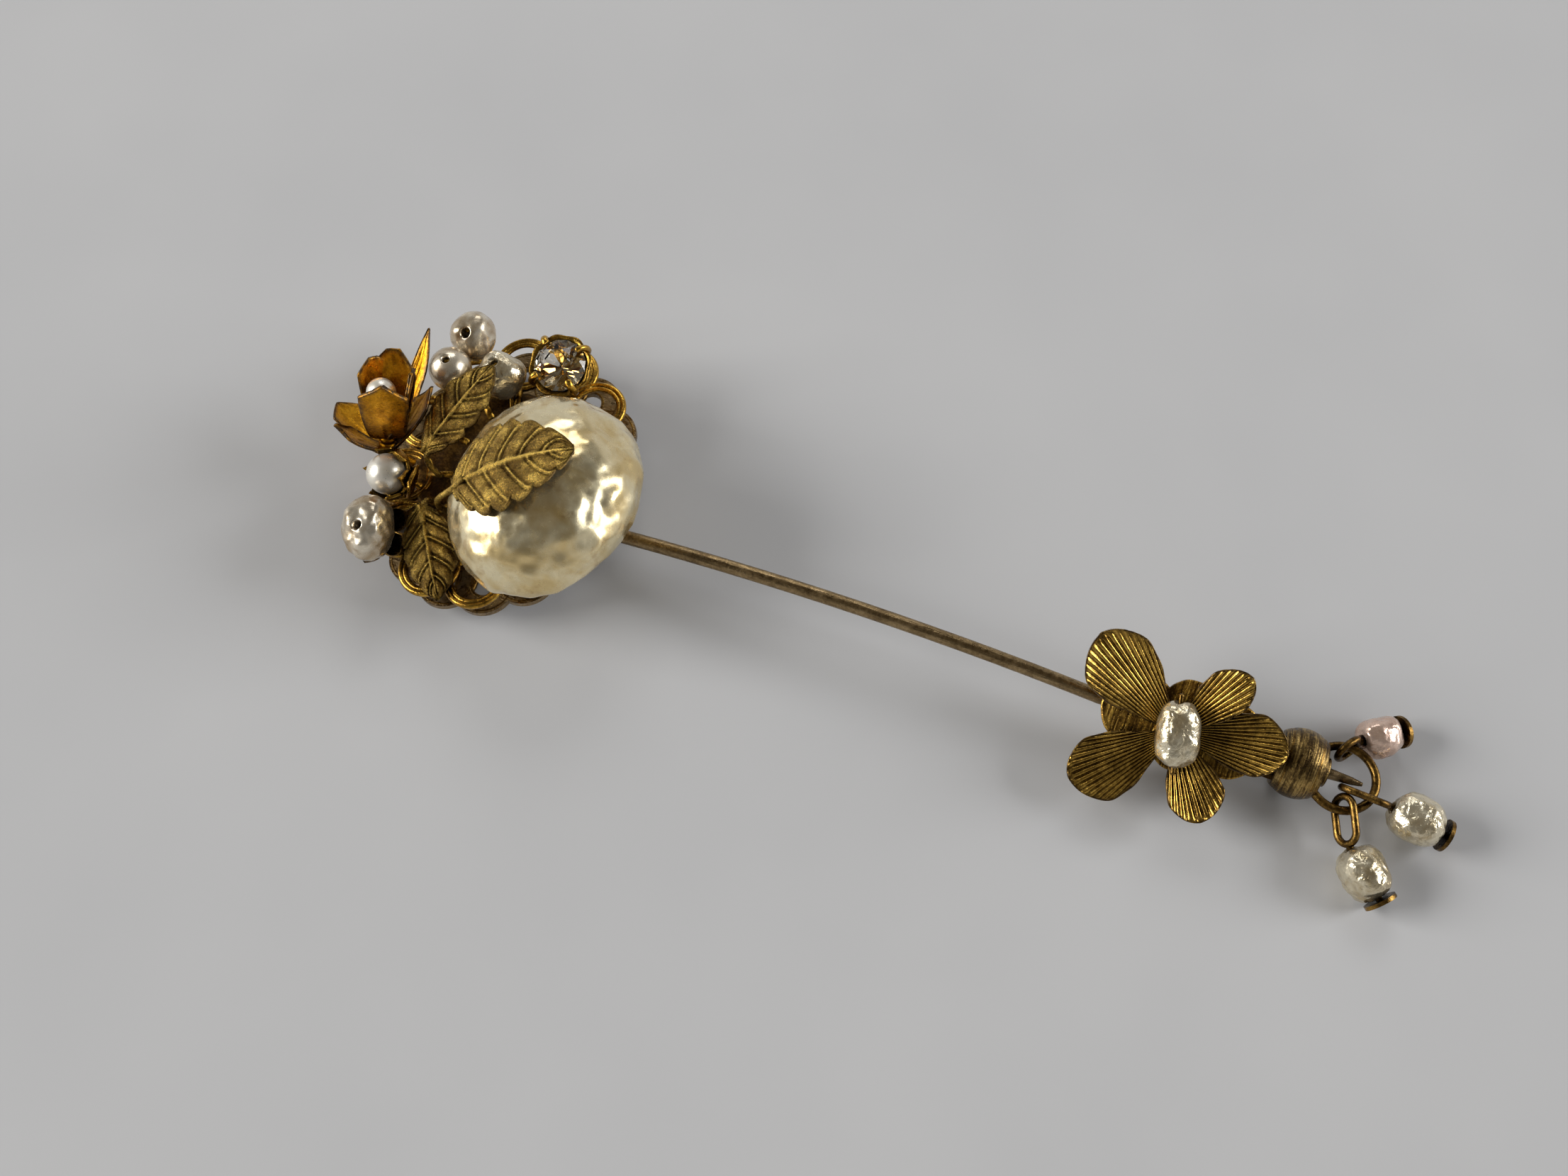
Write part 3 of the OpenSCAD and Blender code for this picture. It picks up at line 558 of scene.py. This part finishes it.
# The three pearls at the top of the head: middle, way of the drilling, share of top_d, and foot of the wire.
top_pearls = [
    (spot(-0.6, 0.8, 4.4), toward(-80, 64), 1.06, spot(-0.39, 0.42, front_z)),
    (spot(-0.61, 0.48, 4.9), toward(-30, 84), 0.98, spot(-0.47, 0.34, front_z)),
    (spot(-0.2, 0.54, 4.6), toward(164, 82), 1.04, spot(-0.14, 0.44, front_z)),
]
for at, way, share, base in top_pearls:
    h = top_d * share / 2
    under = at - way * (h + 0.4)
    plate.tube(on_head(base, base.lerp(under, 0.6), under, at + way * h * 0.8), 0.2, 10, soften=2)
plate.done("pin", ["bright", "shade"], ["front_plate"])

big_below = 2.6                                        # depth of the large pearl under its widest line
big = Piece("pearl_large")
big.bead(HEAD @ move(*spot(0.59, -0.21, top_z + seat + big_below)), big_l / 2, big_w / 2, big_h - big_below,
         big_below, lump=0.012, phase=30, square=0.97, dents=0.03, size=1.35, rings=180, sides=256)
big.done("pin", ["big"], ["big_pearl"])

top_shift = [Vector((0.1, -0.3, 0)), Vector(), Vector()]   # the first sits a little off its wire, as in the photo
for i, (at, way, share, base) in enumerate(top_pearls):
    h = top_d * share / 2
    az, el = math.degrees(math.atan2(way.y, way.x)), math.degrees(math.asin(way.z))
    place = HEAD @ move(*(at + top_shift[i])) @ aim(az, el)
    p = Piece(f"pearl_top_{i + 1}")
    if i == 1:
        p.bead(place, h * 1.05, h * 1.05, h, h, phase=5, dents=0.02, size=0.9, hole=0.26)
    else:
        p.bead(place, h * 1.1, h * 1.02, h, h, lump=0.05, phase=70 * i, square=0.94, dents=0.05, size=0.8,
               hole=0.34)
    p.done("pin", ["small" if i < 2 else "foil"], [f"top_pearl_{i + 1}"])

cup_at, cup_az, cup_el = spot(-0.68, -0.349, 5.1), 237, 53
CUP = HEAD @ move(*cup_at) @ aim(cup_az, cup_el)
r = cup_pearl_d / 2
p = Piece("pearl_in_cup")
p.bead(CUP @ spin("Y", 34) @ spin("X", 20), r, r, r, r, phase=9, dents=0.006, size=0.6, hole=0.16, deep=0.12)
p.done("pin", ["smooth"], ["cup_pearl"])

low_at, low_az, low_el = spot(-0.62, -0.728, 5.0), 272, 69
LOW = HEAD @ move(*low_at) @ aim(low_az, low_el)
p = Piece("pearl_low")
p.bead(LOW @ spin("Z", 8), low_pearl_d * 0.61, low_pearl_d * 0.49, low_pearl_d / 2, low_pearl_d / 2,
       lump=0.05, phase=20, square=0.86, dents=0.09, size=0.75, hole=0.3)
p.done("pin", ["small"], ["low_pearl"])


# Outlines and reliefs of leaves and petals, all in the blade's u and v.
def lens(u, peak, blunt, root):
    """Half width of a leaf: widest at peak, fuller with a smaller blunt, and no narrower than its root."""
    swell = max(0.0, math.sin(math.pi * u ** (math.log(0.5) / math.log(peak)))) ** blunt
    return max(root * (1 - u), 0.05, swell)


def leaf_plain(peak, blunt, root):
    return lambda u, v: lens(u, peak, blunt, root)


def vein(u, v, veins):
    """Counts up by 1 from one slanting side vein to the next."""
    return (u - 0.2 * abs(v) ** 1.25) * veins + (0.3 if v > 0 else 0.0)


def leaf_half(veins, bite):
    """A leaf's outline with a lobe, bite deep, between each two side veins."""
    def half(u, v):
        q = vein(u, math.copysign(1.0, v), veins)
        uneven = noise.noise(Vector((math.floor(q) * 3.7, 2.0 if v > 0 else 9.0, veins)))
        lobe = bite * (1 + 1.2 * uneven) * (math.sin(math.pi * (q % 1.0)) ** 0.6 - 0.62)
        ragged = 0.07 * noise.noise(Vector((u * 16, 3 * v, veins)))
        fade = smooth(0.05, 0.2, u) * smooth(1.0, 0.93, u) * abs(v) ** 3
        return lens(u, 0.45, 0.72, 0.25) * (1 + (lobe + ragged) * fade)
    return half


def leaf_relief(veins):
    """A raised midrib and side veins with a ditch beside them that is painted with shade, puffed fields, a lip and
    grit.
    """
    def relief(u, v):
        a = abs(v)
        mid = math.exp(-(a / 0.042) ** 2) * (1 - 0.4 * u)
        f = vein(u, v, veins) % 1.0
        d = min(f, 1 - f)
        fade = smooth(0.0, 0.1, a) * smooth(1.02, 0.8, a) * smooth(0.02, 0.1, u) * smooth(1.0, 0.88, u)
        line = math.exp(-(d / 0.05) ** 2) * fade
        ditch = math.exp(-((d - 0.13) / 0.055) ** 2) * fade
        ditch += 0.8 * math.exp(-((a - 0.11) / 0.04) ** 2) * smooth(0.0, 0.1, u)
        puff = math.sin(math.pi * f) ** 1.3 * fade
        grit = noise.noise(Vector((u * 52, v * 30, veins)))
        soft = noise.noise(Vector((u * 13, v * 7, veins)))
        up = 0.26 * mid + 0.15 * line - 0.07 * ditch + 0.2 * puff + 0.12 * smooth(0.9, 1.0, a)
        # Ditches are marked below 0, so the gilding paints them dark: painted shade.
        mark = 1.5 * mid + 1.1 * line - 0.9 * ditch + 0.4 * grit + 0.3 * soft
        return up + 0.022 * grit + 0.03 * soft - 0.1, clamp(mark)
    return relief


def house(shoulder, root, tip, sag):
    """A petal that widens to two shoulders and then comes to a point, like a house's gable."""
    def half(u, v):
        if u < shoulder:
            return root + (1 - root) * math.sin(u / shoulder * math.pi / 2) ** 0.85
        k = (u - shoulder) / (1 - shoulder)
        return 1 + (tip - 1) * k - sag * math.sin(k * math.pi)
    return half


def sepal(u, v):
    return max(0.03, (1 - u ** 1.7)) * (0.75 + 0.5 * math.sin(math.pi * min(1.0, u * 1.3)))


def petal_relief(u, v):
    """A faint crease from the root, a lip, worn patches, and colour that darkens towards the root."""
    a = abs(v)
    worn = noise.noise(Vector((u * 7, v * 5, 2.0)))
    up = 0.05 * math.exp(-(a / 0.08) ** 2) * (1 - u) + 0.02 * worn + 0.04 * smooth(0.9, 1.0, a)
    return up, 0.7 * worn - 0.5 * smooth(0.4, 0.0, u)


def leaf(name, node, root, base, knee, az, pitch, l, w, bend, cup, fold, veins, bite, wave, phase):
    """A veined leaf on its stalk, which stands at base and bends at knee to the leaf's root."""
    p = Piece(name)
    p.blade(HEAD @ move(*root) @ run(az, pitch), l, w, leaf_t * 0.8, leaf_half(veins, bite), bend, cup, fold,
            150, 72, leaf_relief(veins), edge=0.14, push=0.05, wave=wave, phase=phase)
    end = root + toward(az, pitch) * 0.6 - Vector((0, 0, leaf_t / 2))
    tail = root + toward(az, pitch) * 1.6 + Vector((0, 0, leaf_t * 0.1))
    p.tube(on_head(base, knee, end, tail), 0.24, 14, soften=2, rib=0.35)
    p.done("pin", ["leaf"], [node])


leaf("leaf_large_veined", "leaf_large",
     root=spot(0.05, -0.45, 8.5), base=foot(-0.19, -0.41, 0.6), knee=spot(-0.21, -0.46, 5.4), az=28, pitch=41,
     l=leaf_l * 0.97, w=leaf_w * 1.06, bend=-56, cup=-0.08, fold=0, veins=6, bite=0.22, wave=0.3, phase=0.6)
leaf("leaf_upper_veined", "leaf_upper",
     root=spot(-0.47, -0.16, 5.5), base=foot(-0.4, -0.18, 0.6), knee=spot(-0.45, -0.19, 4.6), az=69, pitch=20,
     l=leaf_l * 0.8, w=leaf_w * 0.6, bend=-18, cup=-0.15, fold=0, veins=5, bite=0.2, wave=0.25, phase=2.0)
leaf("leaf_lower_veined", "leaf_lower",
     root=spot(-0.32, -0.48, 5), base=foot(-0.34, -0.37, 0.6), knee=spot(-0.33, -0.42, 4.4), az=-60, pitch=-14,
     l=leaf_l * 0.7, w=leaf_w * 0.6, bend=-8, cup=0, fold=-0.35, veins=5, bite=0.2, wave=0.16, phase=4.0)

# Rose: a ring of open petals, and in it a cup of petals with a pearl on a peg. Each row gives a petal's turn,
# pitch, bend, length and width in shares of rose_l, its gable as in house(), and its curl, wave and phase.
open_petals = [
    (128.5, 18, 24, 0.77, 0.30, (0.70, 0.60, 0.06, 0.08), 0.10, 0.08, 0.0),
    (85.0, 12, 24, 0.94, 0.50, (0.82, 0.55, 0.10, -0.05), 0.00, 0.10, 1.7),
    (325.0, 42, 28, 1.02, 0.34, (0.75, 0.60, 0.06, 0.08), -0.15, 0.08, 3.4),
    (5.5, 36, 26, 1.70, 0.23, (0.68, 0.40, 0.08, -0.12), 0.15, 0.06, 5.1),
]
cup_petals = [
    (210.5, 54, 26, 1.10, 0.62, (0.78, 0.70, 0.06, 0.03), -0.08, 0.06, 0.4),
    (22.5, 61, 26, 1.10, 0.62, (0.74, 0.60, 0.28, -0.03), -0.20, 0.16, 1.3),
    (62.0, 60, 24, 1.02, 0.50, (0.82, 0.60, 0.25, -0.03), 0.10, 0.12, 2.6),
    (300.0, 62, 26, 1.00, 0.50, (0.80, 0.60, 0.30, 0.00), -0.10, 0.12, 3.9),
]


def rose_petals(p, place, rows, out):
    for turn, pitch, bend, ls, ws, gable, curl, wave, phase in rows:
        p.blade(place @ run(turn, pitch) @ move(out, 0, 0), rose_l * ls, rose_l * ws, rose_t * 0.85, house(*gable),
                bend, 0.12, 0, 48, 32, petal_relief, curl, edge=0.26, push=0.06, wave=wave, phase=phase)


rose_at, rose_az, rose_el = spot(-0.816, -0.155, 4.3), 85, 58
rose_lift, rose_out = 0.74, 0.55                       # height of the cup over the open petals, its petals' offset
rose_pearl_r, rose_pearl_up = 1.15, 4.2
ROSE = HEAD @ move(*rose_at) @ aim(rose_az, rose_el)
CORE = ROSE @ move(0, 0, rose_lift + seat)
PEG = CORE @ spin("Z", 125) @ move(0.4, 0, 0)

p = Piece("rose_open_petals")
p.lathe(ROSE, [(0.01, 0.0), (0.6, 0.0), (0.7, 0.1), (0.7, rose_lift - 0.1), (0.6, rose_lift), (0.01, rose_lift)], 40)
rose_petals(p, ROSE, open_petals, 0)
base = foot(-0.66, -0.14, 0.6)
p.tube(on_head(base, base.lerp(rose_at, 0.6), rose_at + toward(rose_az, rose_el) * 0.3), 0.3, 14, soften=2)
p.done("pin", ["rose"], ["rose_outer"])

p = Piece("rose_cup_petals")
p.lathe(CORE, [(0.01, 0.0), (0.6, 0.0), (0.7, 0.08), (0.7, 0.34), (0.6, 0.42), (0.01, 0.42)], 40)
p.tube([PEG @ Vector((0, 0, 0.2)), PEG @ Vector((0, 0, rose_pearl_up))], 0.25, 12)
rose_petals(p, CORE, cup_petals, rose_out)
p.done("pin", ["rose"], ["rose_inner"])

p = Piece("pearl_in_rose")
p.bead(PEG @ move(0, 0, rose_pearl_up), rose_pearl_r, rose_pearl_r, rose_pearl_r, rose_pearl_r,
       phase=11, dents=0.01, size=0.6)
p.done("pin", ["smooth"], ["rose_pearl"])

# The small cup with sepals that holds the smooth pearl.
cup_r, cup_wall, cup_low, cup_lip = cup_pearl_d / 2 + seat, 0.3, 88, 17.5
steps = [k / 16 for k in range(17)]
outside = [-cup_low + (cup_low - cup_lip) * k for k in steps]
inside = [-cup_lip - (cup_low - cup_lip) * k for k in steps]
profile = [((cup_r + cup_wall) * cosd(a), (cup_r + cup_wall) * sind(a)) for a in outside]
profile += [(cup_r * cosd(a), cup_r * sind(a)) for a in inside]
p = Piece("pearl_cup_sepals")
p.lathe(CUP, profile, 48)
p.tube([CUP @ Vector((0, 0, -cup_r - 0.2)), CUP @ Vector((0, 0, -0.2))], 0.25, 10)
for i in range(6):
    place = CUP @ spin("Z", 60 * i) @ move(cup_r + cup_wall * 0.2, 0, -cup_r * 0.4) @ run(0, 82)
    p.blade(place, 1.3, 1.3, rose_t * 0.8, sepal, 4, 0.1, n=16, m=12, curl=0.06 * (-1) ** i, edge=0.14)
for i, (turn, pitch, ls, bend) in enumerate([(25, 2, 0.6, 60), (112, 0, 1.1, 76), (312, 2, 0.5, 60)]):
    p.blade(CUP @ move(0, 0, -cup_r - cup_wall * 0.6) @ run(turn, pitch), cup_pearl_d * ls, cup_pearl_d * 0.85,
            rose_t * 0.85, leaf_plain(0.55, 0.8, 0.35), bend, 0.1, 0, 28, 18, petal_relief, edge=0.2, wave=0.06,
            phase=i)
base = foot(-0.5, -0.29, 0.6)
end = cup_at - toward(cup_az, cup_el) * (cup_r + cup_wall * 0.7)
p.tube(on_head(base, base.lerp(end, 0.5), end), 0.3, 14, soften=1)
p.done("pin", ["bright"], ["pearl_cup"])

# The petalled cap under the baroque pearl.
cap_down, cap_petal_l = low_pearl_d * 0.53 + seat, 2.8
CAP = LOW @ move(0, 0, -low_pearl_d * 0.53 - seat - rose_t)
p = Piece("low_cap_petals")
p.lathe(CAP, [(0.01, 0.0), (0.9, 0.0), (1.0, 0.08), (1.0, 0.22), (0.9, 0.3), (0.01, 0.3)], 32)
p.tube([CAP @ Vector((0, 0, 0.1)), CAP @ Vector((0, 0, low_pearl_d * 0.9))], 0.2, 10)
for i in range(5):
    p.blade(CAP @ run(-10 + 72 * i, 4) @ move(0, 0, rose_t), cap_petal_l, cap_petal_l * 0.62, rose_t * 0.85,
            leaf_plain(0.62, 0.7, 0.5), 16, 0.1, 0, 26, 16, petal_relief, 0.15, edge=0.2, wave=0.08, phase=i)
base = foot(-0.45, -0.4, 0.6)
end = low_at - toward(low_az, low_el) * cap_down
p.tube(on_head(base, base.lerp(end, 0.5), end), 0.2, 12, soften=1)
p.done("pin", ["dark"], ["low_cap"])

# Cut stone and its setting, a cup with four claws.
stone_at, stone_az, stone_el, claw_turn = spot(0.25, 0.68, 5.2), -73, 73, 30
STONE = HEAD @ move(*stone_at) @ aim(stone_az, stone_el)
crown_h, pavilion_h, girdle_h = stone_d * 0.19, stone_d * 0.38, 0.06
bezel_r, bezel_h = stone_d / 2 + seat + 0.3, stone_d * 0.38 + 0.5


def scallop(t, z):
    return 0.03 * smooth(-1.2, 0.0, z) * math.sin(8 * t)


p = Piece("stone_claws")
p.lathe(STONE, [(0.01, -bezel_h), (bezel_r * 0.48, -bezel_h), (bezel_r * 0.56, -bezel_h + 0.2),
                (bezel_r * 0.82, -1.0), (bezel_r * 0.93, -0.5), (bezel_r - 0.05, -0.12), (bezel_r, -0.03),
                (bezel_r - 0.08, 0.0), (stone_d / 2 + seat, -0.03), (0.4, -pavilion_h - seat)], 64, scallop)
claw = [(bezel_r * 0.72, 0, -1.3), (bezel_r * 0.98, 0, -0.5), (bezel_r, 0, 0.15), (bezel_r - 0.12, 0, 0.55),
        (bezel_r - 0.42, 0, crown_h + 0.12), (bezel_r - 0.72, 0, crown_h + 0.1)]
for i in range(4):
    place = STONE @ spin("Z", claw_turn + 90 * i)
    p.tube([place @ Vector(q) for q in claw], 0.3, 14, flat=0.8, soften=1, rib=0.3)
way = toward(stone_az, stone_el)
p.tube(on_head(foot(0.21, 0.48, 1.2), stone_at - way * (bezel_h + 0.6), stone_at - way * (bezel_h - 0.1)), 0.6, 18)
p.done("pin", ["bright"], ["stone_setting"])

GEM = STONE @ spin("Z", claw_turn + 22.5)


def polygon(share, z, n, off):
    """A ring of n corners of the stone, turned by off of a side."""
    r, turns = stone_d / 2 * share, [360 * (k + off) / n for k in range(n)]
    return [GEM @ Vector((r * cosd(a), r * sind(a), z)) for a in turns]


table = polygon(0.54, crown_h, 8, 0.5)
star = polygon(0.80, crown_h * 0.58, 8, 0)
girdle = polygon(1, girdle_h, 16, 0)
under = polygon(1, -girdle_h, 16, 0)
waist = polygon(0.55, -pavilion_h * 0.52, 8, 0.5)
verts = table + star + girdle + under + waist + [GEM @ Vector((0, 0, -pavilion_h))]
t0, s0, g0, u0, w0, tip = 0, 8, 16, 32, 48, 56          # first corner of each ring, and the point below
faces, slots = [tuple(t0 + k for k in range(8))], [0]
for k in range(8):
    n, q = (k + 1) % 8, (k - 1) % 8
    here, after, before = 2 * k, (2 * k + 1) % 16, (2 * k + 15) % 16
    faces += [(t0 + k, t0 + q, s0 + k), (s0 + k, g0 + here, g0 + after), (s0 + k, g0 + before, g0 + here),
              (t0 + k, s0 + k, g0 + after, s0 + n)]
    slots += [0] * 4
    faces += [(u0 + before, w0 + q, u0 + here), (u0 + here, w0 + k, u0 + after), (u0 + here, w0 + q, tip, w0 + k)]
    slots += [1, 1, 2] if k % 2 else [2, 1, 1]
for k in range(16):
    faces.append((g0 + k, u0 + k, u0 + (k + 1) % 16, g0 + (k + 1) % 16))
    slots.append(0)
p = Piece("stone_faceted")
p.add(verts, faces, slot=slots)
p.done("pin", ["glass", "mirror", "mirror_warm"], ["cut_stone"], smooth_all=False)

# Guard: the clutch's turned skin, and the four-lobed backing under the flower.
GUARD = spin("X", guard_roll)
clutch_end, collar_end = clutch_l / 2, clutch_l / 2 + 0.5
profile = [(0.63, -clutch_end - 0.02), (1.7, -clutch_end - 0.06), (1.98, -clutch_end - 0.03)]
for k in range(61):
    x = -clutch_end + clutch_l * k / 60
    groove = 0.035 * math.exp(-((abs(x) - 1.15) / 0.07) ** 2)
    profile.append((math.sqrt((clutch_d / 2) ** 2 - x * x) + 0.012 - groove, x))
profile += [(1.98, clutch_end + 0.03), (1.55, clutch_end + 0.05), (1.15, clutch_end + 0.08),
            (1.12, collar_end - 0.08), (1.0, collar_end), (0.75, collar_end - 0.04), (0.64, collar_end - 0.2)]
p = Piece("clutch_bands")
p.lathe(spin("Y", 90), profile, 96)
p.done("guard", ["clutch"])

bar_z = stem_d / 2 + seat
bar_top, bar_x, end_r, side_r = bar_z + 0.5, -8.9, bar_w * 0.41, bar_w * 0.3
lobes = [(bar_x - bar_l / 2 + end_r, 0, end_r), (bar_x + bar_l / 2 - end_r, 0, end_r),
         (bar_x, side_r - bar_w / 2, side_r), (bar_x, bar_w / 2 - side_r, side_r)]
p = Piece("guard_backing")
for i, (x, y, r) in enumerate(lobes):
    h = bar_top + 0.012 * i
    p.lathe(GUARD @ move(x, y, 0),
            [(0.01, h + 0.01), (r * 0.3, h + 0.012), (r - 0.42, h + 0.015), (r - 0.3, h + 0.01), (r - 0.14, h + 0.06),
             (r + 0.01, h + 0.04), (r + 0.04, h - 0.06), (r + 0.03, bar_z - 0.01), (r - 0.1, bar_z - 0.03),
             (0.01, bar_z - 0.03)], 72, lambda t, z: 0.012 * math.sin(7 * t + 1.0) * math.cos(3 * t))
p.done("guard", ["backing"])

# The guard's flower: turn, pitch, length and width in shares of petal_l and petal_w, and bend of each petal.
petals = [(145, 8, 1.03, 1, 6), (56, 22, 0.8, 0.64, -10), (8, 9, 0.91, 0.84, 4), (-57, 16, 0.77, 0.76, -8),
          (-138, 6, 0.95, 0.9, 4)]
FLOWER = GUARD @ move(-9.4, -0.6, bar_top + seat)


def petal_half(u, v):
    """Half width: widest near the end, fuller on one side than on the other."""
    return (1 + 0.1 * v) * lens(u, 0.69, 0.56, 0.3) * (1 + 0.02 * math.sin(23 * u + 3 * v))


def ribs(count, deep, l, w):
    """Fine uneven ribs that fan out from the root and run to the edge, with a plain lip; the grooves are painted dark
    as shade.
    """
    spread = w / 2 / (l * 0.86)

    def relief(u, v):
        a = abs(v)
        angle = v * petal_half(u, v) * w / 2 / (l * (u + 0.17))
        x = angle / spread * count / 2 + 0.25 * noise.noise(Vector((angle * 6.0, u * 0.5, count)))
        groove = (0.5 - 0.5 * math.cos(2 * math.pi * x)) ** 2.4
        fade = smooth(0.05, 0.2, u) * smooth(1.0, 0.93, u) * smooth(1.0, 0.93, a)
        lip = max(smooth(0.94, 1.0, a), smooth(0.96, 1.0, u)) * smooth(0.3, 0.6, u)
        grit = noise.noise(Vector((u * 40, v * 30, count)))
        up = deep * (1 - groove) * fade + 0.09 * lip + 0.08 * math.exp(-(a / 0.05) ** 2) * (1 - u)
        # Grooves are marked below 0, so the gilding paints them dark: painted shade; the root is marked lighter and
        # the lip darker.
        mark = (0.25 - 0.75 * groove) * fade + 0.25 * grit + 0.8 * smooth(0.4, 0.05, u) - 0.25 * lip
        return up + 0.012 * grit - 0.06, clamp(mark)
    return relief


p = Piece("flower_petals")
p.lathe(FLOWER, [(0.01, 0.42), (0.8, 0.44), (1.2, 0.38), (1.5, 0.22), (1.5, 0.05), (1.4, 0.0), (0.01, 0.0)], 48,
        lambda t, z: 0.02 * math.sin(10 * t))
for i, (turn, pitch, ls, ws, bend) in enumerate(petals):
    l, w = petal_l * ls, petal_w * ws
    p.blade(FLOWER @ run(turn, pitch) @ move(0, 0, petal_t), l, w, petal_t * 0.8, petal_half, bend, 0.12, 0, 90, 96,
            ribs(14 if ws > 0.8 else 10, 0.15, l, w), edge=0.16, push=0.05, wave=0.12, phase=2.1 * i)
p.done("guard", ["flower"], ["guard_flower"])

centre_up = petal_t + 0.35 + centre_d / 2
p = Piece("flower_pearl")
p.bead(FLOWER @ move(0, 0, centre_up) @ spin("Z", 102) @ spin("Y", 90), centre_d / 2, centre_d / 2, centre_l / 2,
       centre_l / 2, lump=0.05, phase=40, square=0.72, dents=0.045, size=0.5, hole=0.34)
p.done("guard", ["foil"], ["guard_pearl"])

# Pearls of the three drops: where the eye hangs on the ring, the eye's way and share of eye_l, how far it reaches
# back past the ring, then the pearl's way and pitch and its share of drop_d.
ring_x, eye_pitch, neck = clutch_l / 2 + ring_d * 0.33, -8, 0.35
drops = [(90, 53, 0.58, 1.2, 38, -17, 0.84), (-19, 0, 1.03, 2.3, -6, -11, 1), (-74, -68, 1, 1.05, -42, -12, 0.97)]
for i, (ring_turn, eye_turn, eye_share, reach, turn, pitch, size) in enumerate(drops):
    eye_way = toward(eye_turn, eye_pitch)
    start = Vector((ring_x, 0, 0)) + ring_d / 2 * toward(ring_turn, 0) - (reach - eye_w / 2) * eye_way
    end = start + (eye_l * eye_share - eye_w / 2) * eye_way
    r, half = drop_d * size / 2, drop_d * size * 0.56
    middle = end + (neck + half) * toward(turn, pitch)
    p = Piece(f"drop_bead_{i + 1}")
    p.bead(move(*middle) @ run(turn, pitch) @ spin("Y", 90), r, r, half, half, lump=0.05, phase=110 * i,
           square=0.82, dents=0.05, size=0.45, hole=0.36)
    p.done("guard", ["pink" if i == 0 else "foil"], [f"drop_pearl_{i + 1}"])

# The CAD nodes that stay, with better materials.
kept = {"back_plate": "stem", "guard_clutch": "dark", "guard_staple": "dark", "drop_wire_1": "dark",
        "drop_wire_2": "dark", "drop_wire_3": "dark"}
for name, mat in kept.items():
    materials = nodes[name].data.materials
    materials.clear()
    materials.append(M[mat])

# A plain pale floor.
floor = Shader("table_top")
floor.set(Base_Color=floor.ramp(floor.noise(0.03, 3), [(0.3, (0.52, 0.522, 0.53)), (0.7, (0.555, 0.556, 0.562))]),
          Roughness=0.8, Specular_IOR_Level=0.2)
mesh = bpy.data.meshes.new("table")
z = (floor_z - 0.02) * MM
mesh.from_pydata([(-5, -5, z), (5, -5, z), (5, 5, z), (-5, 5, z)], [], [(0, 1, 2, 3)])
mesh.materials.append(floor.mat)
table_obj = bpy.data.objects.new("table", mesh)
scene.collection.objects.link(table_obj)

# Soft studio light: a pale surround that is darker and warmer overhead, as the room in the pearl's reflections
# is, and three large windows.
world = bpy.data.worlds.new("studio")
scene.world = world
world.use_nodes = True
wt = world.node_tree
wt.nodes.clear()
out = wt.nodes.new("ShaderNodeOutputWorld")
background = wt.nodes.new("ShaderNodeBackground")
coords = wt.nodes.new("ShaderNodeTexCoord")
split = wt.nodes.new("ShaderNodeSeparateXYZ")
ramp = wt.nodes.new("ShaderNodeValToRGB")
wt.links.new(coords.outputs["Generated"], split.inputs[0])
wt.links.new(split.outputs["Z"], ramp.inputs["Fac"])
wt.links.new(ramp.outputs["Color"], background.inputs["Color"])
wt.links.new(background.outputs[0], out.inputs[0])
elements = ramp.color_ramp.elements
elements[0].position, elements[0].color = 0.0, (0.72, 0.72, 0.73, 1)
elements[1].position, elements[1].color = 1.0, (0.125, 0.10, 0.064, 1)
for pos, c in ((0.25, 0.54), (0.5, 0.25), (0.75, 0.13)):
    elements.new(pos).color = (c, c * 0.98, c * 0.95, 1)
background.inputs["Strength"].default_value = 0.8


def area(name, place, size, power, colour):
    """A rectangular lamp, in metres and watts, that faces the middle of the pin."""
    data = bpy.data.lights.new(name, "AREA")
    data.shape = "RECTANGLE"
    data.size, data.size_y = size
    data.energy = power
    data.color = colour
    obj = bpy.data.objects.new(name, data)
    obj.location = place
    obj.rotation_euler = (Vector((-0.05, 0, 0)) - Vector(place)).to_track_quat("-Z", "Y").to_euler()
    scene.collection.objects.link(obj)


area("window_left", (-1.9, -0.6, 0.98), (1.14, 0.98), 41.0, (1.0, 0.99, 0.97))
area("window_right", (1.85, 0.75, 0.90), (1.05, 0.96), 32.0, (0.97, 0.98, 1.0))
area("window_back", (-0.6, 1.9, 1.52), (1.1, 0.76), 9.0, (1.0, 1.0, 1.0))
